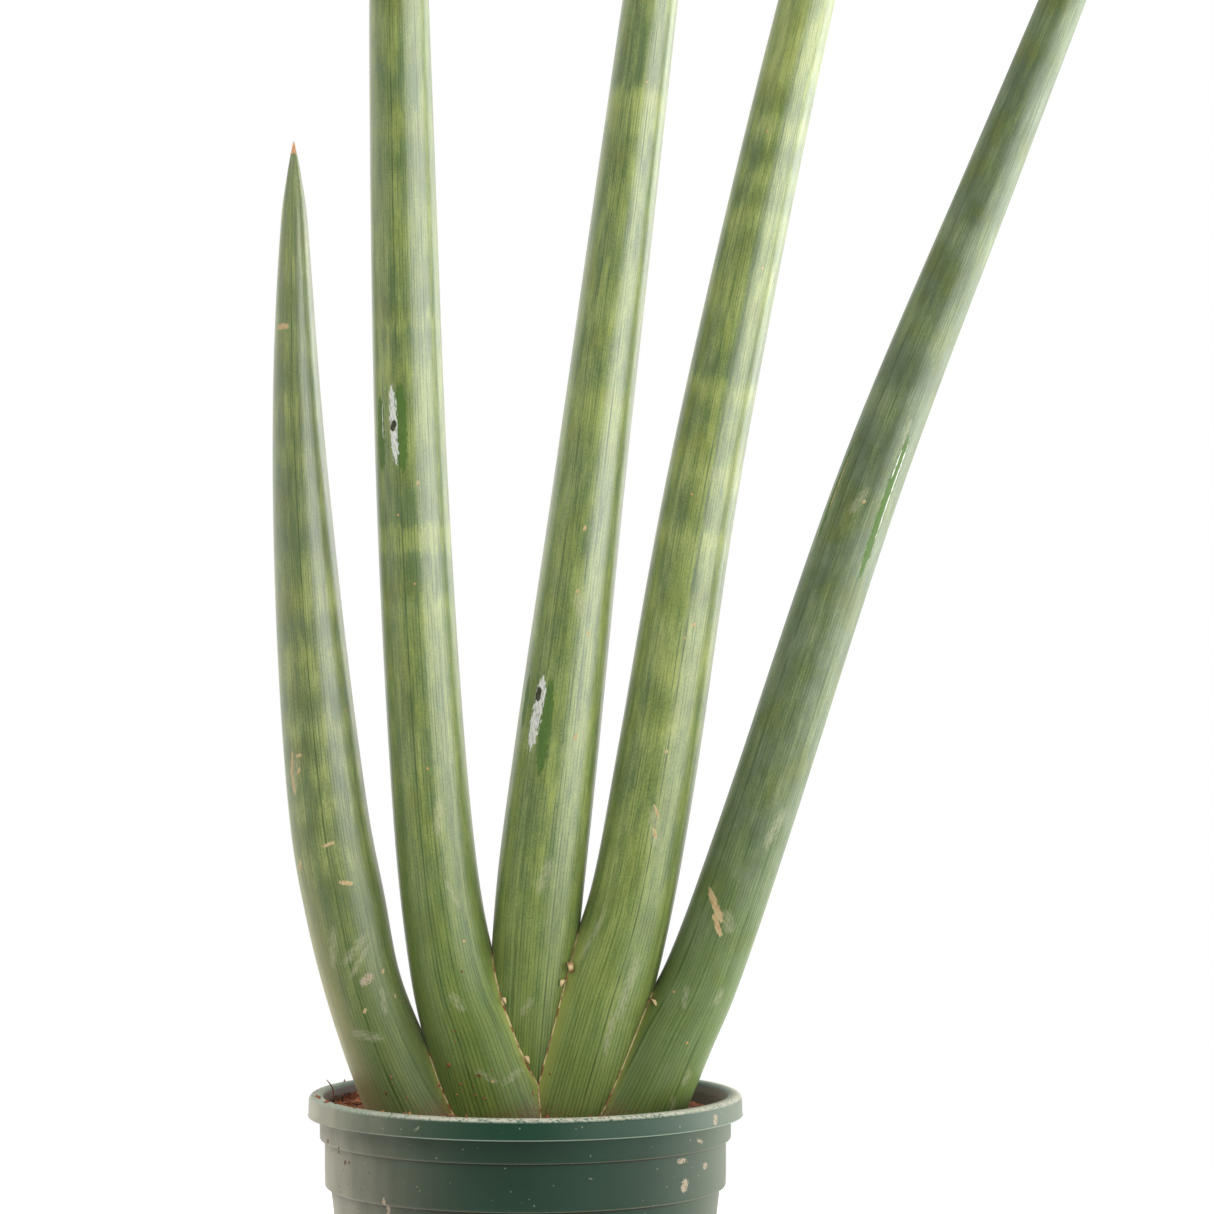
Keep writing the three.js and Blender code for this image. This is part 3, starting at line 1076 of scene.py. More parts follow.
    left_outer = Leaf(
        node="leaf_left_outer",
        stations=spine(
            (-14, 0, 82, 38, 37), (-36.2, 0, 115, 29.4, 32), (-51, 0, 150, 25.2, 26),
            (-58.5, 0.5, 182, 26.4, 25.8), (-64, 1, 214, 25.4, 24.5), (-69.9, 2, 276, 21.5, 21),
            (-74, 5, 349, 15.1, 15), (-75, 9, 427.5, 0, 0),
        ),
        grooves=(-6, 36, 85, 125, 178, -128, -74),
        bands=(
            (100, 0.5), (159, 0.45), (184, 0.4), (195, 0.6), (205, 0.35), (212, 0.6), (218, 0.35),
            (225, 0.6), (231, 0.3), (238, 0.65), (246, 0.3), (255, 0.6), (261, 0.65), (270, 0.25),
            (279, 0.72), (289, 0.4), (297, 0.15), (309, 0.45), (317, 0.3), (325, 0.5), (332, 0.3),
            (340, 0.6), (350, 0.2), (361, 0.55), (374, 0.4), (394, 0.55), (424, 0.5),
        ),
        blemishes=(
            *marks(
                Mark.SCAB, (367, -36, 2.2, 11), (228, -50, 8, 1.2, 12), (222, -52, 9, 1.4, -8),
                (230, -34, 1.3, 3, 0), (225, -38, 3, 1, 30), (201, -3, 1.2, 5, -10),
                (188, 12, 1.6, 5.5, 20), (196, -60, 4, 1.8, 20), (158, 40, 1.9, 1.2, 20),
                (149, 48, 1.5, 1.0, 0), (148, -4, 1.9, 1.2, 30),
            ),
            *marks(
                Mark.SCUFF, (224, -46, 16, 5, 10), (167, 6, 15, 4.5, 48), (163, 8, 14, 3, 42),
                (169, -26, 16, 4, 15), (141, -14, 12, 4, -62), (149, 26, 10, 3, 10),
            ),
            *marks(Mark.SOIL, (157, 12, 6, 4, 60)),
        ),
        skin=LeafSkin(
            dark="#42532a", middle="#5d6934", pale="#7c8648", fresh="#55633a", gloss=1.0,
            dusty_side=0.75, speck_spacing=6.5,
        ),
        seed=67.0,
    )
    return [centre, right_inner, left_inner, right_outer, left_outer]


# ---------------------------------------------------------------- dry sheath edges


@dataclass(frozen=True)
class DrySkin:
    """Dead leaf skin: thin and papery, matt, from cream to red-brown."""

    cream: str = "#c0ae80"
    brown: str = "#7c4a2c"

    def material(self) -> bpy.types.Material:
        """Make the dry skin.

        Returns:
            The material.
        """
        material, tree = new_material("dry_papery_sheath")
        blots = add_node(tree, "TexNoise", {"Vector": millimetres(tree), "Scale": 0.3, "Detail": 4.0})
        colour = add_node(tree, "ValToRGB", {"Fac": blots})
        set_ramp(colour, [(0.46, linear(self.cream)), (0.62, linear(self.brown))])
        finish_surface(tree, {"Base Color": colour, "Roughness": 0.8, "IOR": 1.4})
        return material


@dataclass(frozen=True)
class Shred:
    """A curled, dry shred that hangs on a margin.

    The place where it starts and its sizes are in millimetres, and its curl is in radians.
    """

    across: float
    height: float
    length: float
    sweep: float = 0.3
    width: float = 1.4
    thickness: float = 0.32
    curl: float = 4.2
    steps: int = 9
    sides: int = 8

    def build(self, name: str, margin: np.ndarray) -> Piece:
        """Draw the shred as a thin strip that rises from the margin and curls towards the front.

        Args:
            name: The piece's name.
            margin: Points on the margin, in metres, one a row.

        Returns:
            The piece.
        """
        start = np.array((self.across, 0, self.height)) * MM
        front = margin[margin[:, 1] < 0]
        away = np.abs(front[:, (0, 2)] - start[[0, 2]]).sum(axis=1)
        root = Vector(front[away.argmin()])
        rings = []
        for step in range(self.steps + 1):
            share = step / self.steps
            curl = self.curl * share
            out, up = 0.5 * (math.cos(curl) - 1), 0.5 * math.sin(curl) + 0.1
            reach = Vector((self.sweep * share * 2, out, up))
            taper = 0.25 + 0.75 * math.sin(math.pi * (0.25 + 0.75 * share))
            half_width, half_depth = self.width / 2 * taper * MM, self.thickness / 2 * MM
            rings.append(Ring(root + reach * self.length * MM, half_width, half_depth))
        return loft(name, rings, self.sides)


@dataclass
class DrySheath:
    """The torn, dry margin of a leaf base, with a few curled shreds, sizes in millimetres."""

    leaf: Leaf
    edge_radius: float = 0.32
    tatter_size: float = 1.6
    tatter_depth: float = 0.45
    shreds: tuple[Shred, ...] = ()

    def build(self, piece: Piece) -> None:
        """Build the dry margin of one finished leaf.

        Args:
            piece: The leaf, already cut to clasp the younger ones.
        """
        margin = self.leaf.select_margin(piece)
        bpy.ops.object.mode_set(mode="EDIT")
        bpy.ops.mesh.duplicate()
        bpy.ops.mesh.delete(type="ONLY_FACE")
        bpy.ops.mesh.select_all(action="DESELECT")
        bpy.ops.mesh.select_loose()
        bpy.ops.mesh.separate(type="SELECTED")
        bpy.ops.object.mode_set(mode="OBJECT")
        thread = next(one for one in bpy.context.selected_objects if one is not piece)
        thread.name = self.leaf.node + "_dry_edge"
        activate(thread)
        bpy.ops.object.convert(target="CURVE")
        thread.data.bevel_depth = self.edge_radius * MM
        thread.data.bevel_resolution = 1
        bpy.ops.object.convert(target="MESH")
        texture = bpy.data.textures.new("tatters", "CLOUDS")
        texture.noise_scale = self.tatter_size * MM
        torn = {"texture": texture, "strength": self.tatter_depth * MM, "texture_coords": "LOCAL"}
        apply_modifier(thread, "DISPLACE", mid_level=0.55, **torn)
        thread.data.shade_smooth()
        skin = DrySkin().material()
        dress(thread, skin, "leaf_skin")
        for number, shred in enumerate(self.shreds, 1):
            dress(shred.build(f"{self.leaf.node}_shred_{number}", margin), skin, "leaf_skin")


SHREDS = {
    "leaf_left_inner": (Shred(-7.9, 150, 2.2), Shred(-0.6, 131, 2.6)),
    "leaf_right_inner": (Shred(14.3, 161, 3.6, 0.1, 2.4), Shred(12.6, 157, 2.4, -0.3, 1.8)),
    "leaf_right_outer": (Shred(41.0, 149, 3.4, 0.5),),
}


# ---------------------------------------------------------------- pot


@dataclass(frozen=True)
class PotPlastic:
    """Injection-moulded polypropylene, deep green: a dull satin, with a glossier rim.

    Dry dust greys the left side, where damp mix also splashed it, and gives the wall a faint sheen. The
    dust's paleness near the left edge is partly painted sheen, and the pale right edge is painted sheen
    only. Painted shade darkens the corner under each step. The edge of the rim is worn to a pale,
    crumbly line. Sizes in millimetres.
    """

    green: str = "#122e20"
    deep: str = "#10271b"
    lip: str = "#0f3425"
    dust_and_edge_sheen: str = "#97917f"
    film: str = "#b0a893"
    painted_edge_sheen: str = "#7f8b78"
    inner_film: str = "#464239"
    painted_step_shade: str = "#08120c"
    worn: str = "#a3a291"
    rubbed: str = "#567061"
    flash_line: str = "#83917f"
    grit: str = "#3f281b"
    speck: str = "#8f9585"
    radius: float = 66.0
    rim_radius: float = 70.0
    wall_inside: float = 65.2
    lowest_inside: float = 106.5
    steps: tuple[float, ...] = (105.4, 90.0)
    crust: tuple[float, float] = (66.8, 68.2)
    rim_top: tuple[float, float] = (118.7, 119.4)
    rear: tuple[float, float] = (82.0, 120.0)
    splashes: tuple[Blemish, ...] = (
        *marks(
            Mark.SOIL, (95.5, 51.7, 5.2, 4.6, 20), (100.3, 62.5, 2.4, 4.5), (103.4, 50.4, 2, 6.5),
            (115.6, 60, 4, 3.6), (109, 57, 1.4, 5, 20), (77, 58, 3, 2.4), (88, -42.4, 12, 2.2),
            (84.5, -43.5, 4, 4.4),
        ),
        *marks(
            Mark.CLOD, (107.2, -70.7, 1.6, 2.2), (105.9, -62.4, 1.3, 1.4), (104.3, -65.4, 1.1, 1.2),
            (101.6, -61.0, 1.5, 1.8), (101.9, -58.6, 1.0, 1.0),
        ),
        *marks(Mark.SCUFF, (84, 3, 5, 4, 30), (116, -28, 3.4, 1.2, 45), (60, 20, 22, 8, 20)),
    )

    def material(self) -> bpy.types.Material:
        """Make the plastic.

        Returns:
            The material.
        """
        material, tree = new_material("green_polypropylene")
        place = millimetres(tree)
        across, height, turn = round_place(tree, place)
        flat = add_node(tree, "VectorMath", {0: place, 1: (1, 1, 0)}, operation="MULTIPLY")
        radius = add_node(tree, "VectorMath", {0: flat}, operation="LENGTH").node.outputs["Value"]
        around = add_node(tree, "Math", {0: turn, 1: self.radius}, operation="MULTIPLY")
        spread = add_node(tree, "CombineXYZ", {"X": around, "Y": height})

        broad = add_node(tree, "TexNoise", {"Vector": place, "Scale": 0.03, "Detail": 4.0})
        fine = add_node(tree, "TexNoise", {"Vector": place, "Scale": 1.1, "Detail": 5.0})
        drawn = add_node(tree, "VectorMath", {0: spread, 1: (0.12, 0.05, 0)}, operation="MULTIPLY")
        drawn = add_node(tree, "TexNoise", {"Vector": drawn, "Scale": 1.0, "Detail": 6.0})

        # Dust lies thickest at the left, less at the rear; its paleness near the left edge is partly
        # painted sheen, and the pale right edge is painted sheen only. A film of mix is inside the wall,
        # darker at the left.
        side = self.rim_radius
        left = add_node(tree, "MapRange", {"Value": across, "From Min": 0.0, "From Max": -side})
        right = add_node(tree, "MapRange", {"Value": across, "From Min": 0.0, "From Max": side})
        dust_and_edge_sheen = add_node(tree, "Math", {0: left, 1: 2.6}, operation="POWER")
        # Painted sheen: the right side is paled more and more towards its edge.
        painted_edge_sheen = add_node(tree, "Math", {0: right, 1: 5.0}, operation="POWER")
        uneven = {"Value": drawn, "From Min": 0.3, "From Max": 0.7, "To Min": 0.75, "To Max": 1.2}
        uneven = add_node(tree, "MapRange", uneven)
        rear = add_node(tree, "Math", {0: around}, operation="ABSOLUTE")
        start, full = self.rear
        rear = {"Value": rear, "From Min": start, "From Max": full, "To Min": 1.0, "To Max": 0.3}
        rear = add_node(tree, "MapRange", rear)
        for limit in (uneven, rear):
            dust_and_edge_sheen = add_node(tree, "Math", {0: dust_and_edge_sheen, 1: limit}, operation="MULTIPLY")
        painted_edge_sheen = add_node(tree, "Math", {0: painted_edge_sheen, 1: rear}, operation="MULTIPLY")
        above = add_node(tree, "Math", {0: height, 1: self.lowest_inside}, operation="GREATER_THAN")
        inside = add_node(tree, "Math", {0: radius, 1: self.wall_inside}, operation="LESS_THAN")
        inside = add_node(tree, "Math", {0: inside, 1: above}, operation="MULTIPLY")
        # The inside of the wall is darkened towards the left, in the grit colour.
        darker_left_inside = add_node(tree, "MapRange", {"Value": across, "From Min": -35.0, "From Max": -55.0})
        darker_left_inside = add_node(tree, "Math", {0: darker_left_inside, 1: inside}, operation="MULTIPLY")
        inside = add_node(tree, "Math", {0: inside, 1: drawn}, operation="MULTIPLY")

        # Painted shade: a dark line in the corner under each step.
        corner = 0.0
        for step in self.steps:
            under = add_node(tree, "Math", {0: height, 1: step - 0.3, 2: 0.35}, operation="COMPARE")
            corner = add_node(tree, "Math", {0: under, 1: corner}, operation="MAXIMUM")

        # The rim: a cleaner face, a rubbed top, a thin flash line at its foot and a worn, crumbly edge.
        # The last two are sparing at the left, where soil covers them.
        rim = self.rim_radius
        lip = add_node(tree, "Math", {0: radius, 1: rim - 1}, operation="GREATER_THAN")
        flash = {"Value": radius, "From Min": rim + 0.03, "From Max": rim + 0.12}
        flash = add_node(tree, "MapRange", flash)
        start, full = self.rim_top
        top = add_node(tree, "MapRange", {"Value": height, "From Min": start, "From Max": full})
        start, full = self.crust
        edge = add_node(tree, "MapRange", {"Value": radius, "From Min": start, "From Max": full})
        sparing = {"Value": across, "From Min": -58.0, "From Max": -28.0, "To Min": 0.25}
        sparing = add_node(tree, "MapRange", sparing)
        chipped = add_node(tree, "MapRange", {"Value": fine, "From Min": 0.38, "From Max": 0.52})
        for limit in (edge, top, sparing):
            chipped = add_node(tree, "Math", {0: chipped, 1: limit}, operation="MULTIPLY")
        flash = add_node(tree, "Math", {0: flash, 1: sparing}, operation="MULTIPLY")

        # Grit sticks to the left half, and pale specks lie all around.
        grit = dots(tree, spread, 0.4, (0.15, 0.075), 0.45)
        grit = add_node(tree, "Math", {0: grit, 1: left}, operation="MULTIPLY")
        specks = dots(tree, place, 0.33, (0.1, 0.05), 0.45)

        tints = [
            Tint(broad, 0.4, 0.65, 1.0, self.deep),
            Tint(lip, 0.0, 1.0, 0.7, self.lip),
            # Painted shade in the corner under each step.
            Tint(corner, 0.0, 1.0, 0.8, self.painted_step_shade),
            # The left tint is dust with a painted edge sheen; the right tint is painted sheen only.
            Tint(dust_and_edge_sheen, 0.0, 1.0, 0.72, self.dust_and_edge_sheen),
            Tint(painted_edge_sheen, 0.0, 1.0, 0.4, self.painted_edge_sheen),
            Tint(inside, 0.1, 0.4, 0.95, self.inner_film),
            Tint(darker_left_inside, 0.0, 1.0, 0.75, self.grit),
            Tint(top, 0.0, 1.0, 0.55, self.rubbed),
            Tint(flash, 0.0, 1.0, 0.65, self.flash_line),
            Tint(chipped, 0.0, 1.0, 0.95, self.worn),
            Tint(specks, 0.0, 1.0, 0.6, self.speck),
            Tint(grit, 0.1, 0.5, 0.9, self.grit),
        ]
        colour = lay_tints(tree, linear(self.green), tints)
        roughness = add_node(tree, "MapRange", {"Value": lip, "To Min": 0.48, "To Max": 0.36})
        colour, roughness, _ = lay_marks(tree, self.splashes, spread, self.radius, (colour, roughness))
        bump = add_node(tree, "Bump", {"Strength": 0.12, "Distance": 0.05 * MM, "Height": fine})
        finish_surface(
            tree,
            {
                "Base Color": colour,
                "Roughness": roughness,
                "Normal": bump,
                "IOR": 1.49,
                "Specular IOR Level": 0.14,
                "Sheen Weight": 0.5,
                "Sheen Roughness": 0.5,
                "Sheen Tint": linear(self.film),
            },
        )
        return material


@dataclass
class NurseryPot:
    """The stepped pot with its turned-down rim, sizes in millimetres."""

    height: float = 120.0
    wall: float = 1.5
    lip_radius: float = 70.0
    lip_foot: float = 113.2
    lip_rounding: float = 2.0
    flash: float = 0.15
    collar_radius: float = 66.3
    collar_foot: float = 105.4
    band_radius: float = 64.7
    band_foot: float = 90.0
    body_radius: float = 62.8
    base_radius: float = 52.0
    pad_radius: float = 22.0
    channel_rise: float = 3.0
    channel_inner: float = 26.0
    channel_outer: float = 43.0
    foot_inner: float = 46.0
    drain_holes: int = 6
    drain_radius: float = 4.5
    drain_circle: float = 34.5
    drill_depth: float = 8.0
    drill_sides: int = 40
    smooth_angle: float = 32.0
    sides: int = 160
    plastic: PotPlastic = field(default_factory=PotPlastic)

    def outer(self) -> list[Corner]:
        """Draw the wall's outline out from under the base, up the outside and onto the rim.

        Returns:
            The outline's corners in order.
        """
        under_lip = self.height - self.wall
        lip_inside = self.lip_radius - self.wall
        flash_radius = self.lip_radius + self.flash
        return [
            Corner(self.pad_radius, 0),
            Corner(self.channel_inner, self.channel_rise, 1),
            Corner(self.channel_outer, self.channel_rise, 1),
            Corner(self.foot_inner, 0, 1),
            Corner(self.base_radius, 0, 1.2),
            Corner(self.body_radius, self.band_foot, 0.4),
            Corner(self.band_radius, self.band_foot + 0.4, 1.5),
            Corner(self.band_radius, self.collar_foot, 0.4),
            Corner(self.collar_radius, self.collar_foot + 0.3, 1.3),
            Corner(self.collar_radius, under_lip, 0.6),
            Corner(lip_inside, under_lip, 0.6),
            Corner(lip_inside, self.lip_foot, 0.3),
            Corner(flash_radius, self.lip_foot, 0.1),
            Corner(flash_radius, self.lip_foot + 0.2, 0.1),
            Corner(self.lip_radius, self.lip_foot + 0.45, 0.2),
            Corner(self.lip_radius - 0.2, self.height, self.lip_rounding),
        ]

    def inner(self) -> list[Corner]:
        """Draw the wall's outline from the inside of the rim down to the middle of the floor.

        Returns:
            The outline's corners in order.
        """
        wall = self.wall
        floor = self.channel_rise + wall
        taper = (self.body_radius - self.base_radius) / self.band_foot
        return [
            Corner(self.collar_radius - wall + 0.6, self.height, 1.2),
            Corner(self.collar_radius - wall, self.height - 3.5, 1),
            Corner(self.collar_radius - wall, self.collar_foot + wall, 1),
            Corner(self.band_radius - wall, self.collar_foot, 1),
            Corner(self.band_radius - wall, self.band_foot + wall, 1),
            Corner(self.body_radius - wall, self.band_foot, 1),
            Corner(self.base_radius + taper * floor - wall, floor, 1),
            Corner(self.foot_inner - wall / 2, wall, 1),
            Corner(self.channel_outer, floor, 1),
            Corner(self.channel_inner, floor, 1),
            Corner(self.pad_radius + wall / 4, wall),
        ]

    def build(self) -> Piece:
        """Build the pot, drill its base and dress it.

        Returns:
            The finished pot.
        """
        pot = loft("nursery_pot", turned(rounded(self.outer() + self.inner())), self.sides)
        for number in range(self.drain_holes):
            angle = number * math.tau / self.drain_holes
            reach = self.drain_circle * MM
            middle = (math.cos(angle) * reach, math.sin(angle) * reach, self.drill_depth / 2 * MM)
            size = {"radius": self.drain_radius * MM, "depth": self.drill_depth * MM}
            bpy.ops.object.select_all(action="DESELECT")
            bpy.ops.mesh.primitive_cylinder_add(vertices=self.drill_sides, location=middle, **size)
            drill = bpy.context.object
            apply_modifier(pot, "BOOLEAN", object=drill, operation="DIFFERENCE", solver="EXACT")
            bpy.data.objects.remove(drill)
        activate(pot)
        bpy.ops.object.shade_smooth_by_angle(angle=math.radians(self.smooth_angle))
        dress(pot, self.plastic.material(), "pot_plastic", "nursery_pot")
        return pot


# ---------------------------------------------------------------- potting mix


@dataclass(frozen=True)
class CoirAndPeat:
    """Loose coir and peat: matt, from near black crumbs to red-brown fibre."""

    dark: str = "#2c190f"
    brown: str = "#643a22"
    red: str = "#94582f"

    def material(self, name: str, grain: float) -> bpy.types.Material:
        """Make the mix.

        Args:
            name: The material's name.
            grain: The size of its colour patches, in millimetres.

        Returns:
            The material.
        """
        material, tree = new_material(name)
        crumbs = {"Vector": millimetres(tree), "Scale": 1 / grain, "Detail": 5.0}
        crumbs = add_node(tree, "TexNoise", crumbs)
        colour = add_node(tree, "ValToRGB", {"Fac": crumbs})
        tones = [(0.32, self.dark), (0.5, self.brown), (0.7, self.red)]
        set_ramp(colour, [(place, linear(tone)) for place, tone in tones])
        bump = add_node(tree, "Bump", {"Strength": 0.8, "Distance": 0.5 * MM, "Height": crumbs})
        finish_surface(tree, {"Base Color": colour, "Roughness": 0.95, "Normal": bump, "IOR": 1.4})
        return material


def any_turn(rng: random.Random) -> Matrix:
    """Return a random rotation."""
    return Euler([rng.uniform(0, math.tau) for _ in range(3)]).to_matrix().to_4x4()


@dataclass
class PottingMix:
    """The plug of mix, its loose crumbs and its coir fibres, sizes in millimetres."""

    pot: NurseryPot
    level: float = 113.0
    gap: float = 0.15
    mound_height: float = 3.5
    mound_spread: float = 18.0
    mound_at: tuple[float, float] = (-50.0, 22.0)
    heap_right: tuple[float, float] = (-62.5, -40.0)
    heap_back: tuple[float, float] = (-14.0, 30.0)
    lumps: tuple[tuple[float, float], ...] = ((9.0, 2.6), (2.6, 1.8))
    crumb_reach: float = 62.5
    crumb_size: float = 1.9
    crumb_seed: int = 4
    fibre_reach: float = 60.0
    fibre_lengths: tuple[float, float] = (2.5, 7.0)
    fibre_lift: float = 0.4
    fibre_seed: int = 9
    standing_at: tuple[float, float, float] = (-63.2, 4.0, 120.8)
    standing_size: tuple[float, float, float] = (6.5, 8.0, 8.0)
    standing_lean: float = 70.0
    stray_size: float = 0.62
    stray_seed: int = 12
    ray_start: float = 200.0
    top_rings: int = 46
    sides: int = 128
    crumbs: int = 420
    fibres: int = 260
    heap_fibres: int = 170
    stray_crumbs: int = 30
    mix: CoirAndPeat = field(default_factory=CoirAndPeat)

    def build(self) -> None:
        """Build the plug, then scatter crumbs and fibres over it."""
        plug = self._plug()
        graph = bpy.context.evaluated_depsgraph_get()
        surface = BVHTree.FromObject(plug, graph)
        dress(plug, self.mix.material("coir_and_peat", 2.0), "potting_mix", "potting_mix")
        self._crumbs(surface)
        self._fibres(surface)

    def _plug(self) -> Piece:
        """Draw the plug inside the pot's wall and roughen its top.

        Returns:
            The plug.
        """
        inside = [c for c in self.pot.inner() if c.height < self.level]
        edge = self.pot.collar_radius - self.pot.wall - self.gap
        outline = [(max(c.radius - self.gap, 1), c.height + self.gap) for c in reversed(inside)]
        outline.append((edge, self.level - 1))
        for number in range(self.top_rings):
            outline.append((edge * (1 - number / self.top_rings), self.level))
        plug = loft("potting_mix", turned(outline), self.sides)
        self._heap(plug)
        for size, height in self.lumps:
            texture = bpy.data.textures.new("lumps", "CLOUDS")
            texture.noise_scale = size * MM
            texture.noise_depth = 2
            rough = {"texture": texture, "strength": height * MM, "texture_coords": "LOCAL"}
            apply_modifier(plug, "DISPLACE", direction="Z", vertex_group="top", **rough)
        return plug

    def _heap(self, plug: Piece) -> None:
        """Raise the mound and mark the top's corners.

        Args:
            plug: The plug.
        """
        group = plug.vertex_groups.new(name="top")
        edge = (self.pot.collar_radius - self.pot.wall) * MM
        for vertex in plug.data.vertices:
            if vertex.co.z < (self.level - 0.5) * MM:
                continue
            away = (vertex.co.xy - Vector(self.mound_at) * MM).length / (self.mound_spread * MM)
            vertex.co.z += self.mound_height * MM * math.exp(-(away**2))
            group.add([vertex.index], min(1.0, (edge - vertex.co.xy.length) / (1.5 * MM)), "REPLACE")

    def _land(self, surface: BVHTree, start: Vector) -> Vector:
        """Drop a point straight down onto the mix."""
        hit = surface.ray_cast(start, DOWN)[0]
        return hit if hit is not None else Vector((0, 0, self.level * MM))

    def _spot(self, surface: BVHTree, rng: random.Random, reach: float) -> Vector:
        """Find a random point on top of the mix.

        Args:
            surface: The top of the mix.
            rng: The random numbers.
            reach: How far from the middle, in millimetres, it may lie.

        Returns:
            The point, in metres.
        """
        angle = rng.uniform(0, math.tau)
        radius = reach * MM * math.sqrt(rng.random())
        start = Vector((radius * math.cos(angle), radius * math.sin(angle), self.ray_start * MM))
        return self._land(surface, start)

    def _heap_spot(self, surface: BVHTree, rng: random.Random) -> Vector:
        """Find a random point on the heap, which lies in the gap at the left of the leaves.

        Args:
            surface: The top of the mix.
            rng: The random numbers.

        Returns:
            The point, in metres.
        """
        right, back = rng.uniform(*self.heap_right), rng.uniform(*self.heap_back)
        start = Vector((right, back, self.ray_start)) * MM
        inner = (self.pot.collar_radius - self.pot.wall - 1) * MM
        if start.xy.length > inner:
            start.xy *= inner / start.xy.length
        return self._land(surface, start)

    def strew(self, leaf_pieces: list[Piece]) -> None:
        """Leave a few stray crumbs on the rim and on the leaf bases.

        Args:
            leaf_pieces: The finished leaves.
        """
        rng = random.Random(self.stray_seed)
        graph = bpy.context.evaluated_depsgraph_get()
        trees = [BVHTree.FromObject(piece, graph) for piece in leaf_pieces]
        spots = []
        for _ in range(self.stray_crumbs):
            angle = math.radians(rng.gauss(-150, 40))
            radius = rng.uniform(self.pot.collar_radius - 0.5, self.pot.lip_radius - 1) * MM
            on_rim = Vector((radius * math.cos(angle), radius * math.sin(angle), self.pot.height * MM))
            right, up = rng.gauss(-25, 14), self.pot.height + rng.expovariate(0.16)
            start = Vector((right, -self.ray_start, up)) * MM
            hits = [tree.ray_cast(start, Vector((0, 1, 0)))[0] for tree in trees]
            hits = [hit for hit in hits if hit is not None]
            spots += [on_rim, min(hits, key=lambda hit: hit.y, default=on_rim)]
        crumb = self._crumb()
        places = []
        for spot in spots:
            size = rng.uniform(0.5, 1.0) ** 2 * self.stray_size * MM
            turn = any_turn(rng)
            stretch = Matrix.Diagonal((size * rng.uniform(1, 2.2), size, size * 0.7, 1))
            places.append(Matrix.Translation(spot) @ turn @ stretch)
        piece = scatter("stray_crumbs", crumb, places)
        finish = CoirAndPeat(dark="#4a2b1a", brown="#7c4e30", red="#a67a50")
        dress(piece, finish.material("stray_crumb", 3.0), "potting_mix")

    def _crumb(self) -> Piece:
        """Draw one lumpy crumb, one unit in radius.

        Returns:
            The crumb.
        """
        bpy.ops.object.select_all(action="DESELECT")
        bpy.ops.mesh.primitive_ico_sphere_add(subdivisions=2, radius=1)
        crumb = bpy.context.object
        texture = bpy.data.textures.new("crumb", "CLOUDS")
        texture.noise_scale = 0.9
        apply_modifier(crumb, "DISPLACE", texture=texture, strength=1.1)
        return crumb

    def _crumbs(self, surface: BVHTree) -> None:
        """Scatter lumps of peat and coir pith.

        Args:
            surface: The top of the mix.
        """
        rng = random.Random(self.crumb_seed)
        crumb = self._crumb()
        places = []
        for _ in range(self.crumbs):
            spot = self._spot(surface, rng, self.crumb_reach)
            size = rng.uniform(0.4, 1.0) ** 2 * self.crumb_size * MM
            turn = any_turn(rng)
            sizes = (size, size * rng.uniform(0.6, 1), size * rng.uniform(0.5, 0.9), 1)
            stretch = Matrix.Diagonal(sizes)
            places.append(Matrix.Translation(spot) @ turn @ stretch)
        piece = scatter("peat_crumbs", crumb, places)
        dress(piece, self.mix.material("peat_crumb", 5.0), "potting_mix")

    def _fibres(self, surface: BVHTree) -> None:
        """Scatter coir fibres, most lying and a few standing up.

        Args:
            surface: The top of the mix.
        """
        rng = random.Random(self.fibre_seed)
        fibre = self._fibre()
        places = []
        for number in range(self.fibres + self.heap_fibres):
            spot = self._spot(surface, rng, self.fibre_reach)
            steep = 0.25
            if number >= self.fibres:
                spot = self._heap_spot(surface, rng)
                steep = 0.6
            size = rng.uniform(*self.fibre_lengths) * MM
            turn = Euler((rng.gauss(0, steep), rng.gauss(0, steep), rng.uniform(0, math.tau)))
            stretch = Matrix.Diagonal((size, size, size * 0.8, 1))
            lift = Vector((0, 0, self.fibre_lift * MM))
            places.append(Matrix.Translation(spot + lift) @ turn.to_matrix().to_4x4() @ stretch)
        # One fibre stands up beside the rim at the left.
        turn = Euler((0, math.radians(self.standing_lean), 0)).to_matrix().to_4x4()
        stretch = Matrix.Diagonal((*(size * MM for size in self.standing_size), 1))
        places.append(Matrix.Translation(Vector(self.standing_at) * MM) @ turn @ stretch)
        piece = scatter("coir_fibres", fibre, places)
        finish = CoirAndPeat(dark="#3f2012", brown="#743c20", red="#9c6136")
        dress(piece, finish.material("coir_fibre", 6.0), "potting_mix")

    def _fibre(self) -> Piece:
        """Draw one bent fibre, one unit long, thinner at its ends.

        Returns:
            The fibre.
        """
        bend = [
            ((-0.5, 0.0, -0.02), 0.014), ((-0.25, 0.12, 0.04), 0.028), ((0.0, 0.16, 0.08), 0.028),
            ((0.25, 0.08, 0.05), 0.028), ((0.5, -0.06, 0.0), 0.014),
        ]
        rings = [Ring(Vector(centre), thin, thin, math.pi / 2) for centre, thin in bend]
        return loft("fibre", rings, 5)


# ---------------------------------------------------------------- rhizome


@dataclass(frozen=True)
class RootTissue:
    """The buried rhizome and roots: matt, orange-brown, with darker rings."""

    orange: str = "#c0803f"
    brown: str = "#7d4f2a"

    def material(self) -> bpy.types.Material:
        """Make the tissue.

        Returns:
            The material.
        """
        material, tree = new_material("root_tissue")
        rings = add_node(tree, "TexNoise", {"Vector": millimetres(tree), "Scale": 0.4, "Detail": 4.0})
        colour = add_node(tree, "ValToRGB", {"Fac": rings})
        set_ramp(colour, [(0.35, linear(self.brown)), (0.65, linear(self.orange))])
        bump = add_node(tree, "Bump", {"Strength": 0.5, "Distance": 0.4 * MM, "Height": rings})
        finish_surface(tree, {"Base Color": colour, "Roughness": 0.8, "Normal": bump, "IOR": 1.4})
        return material


# ---------------------------------------------------------------- studio


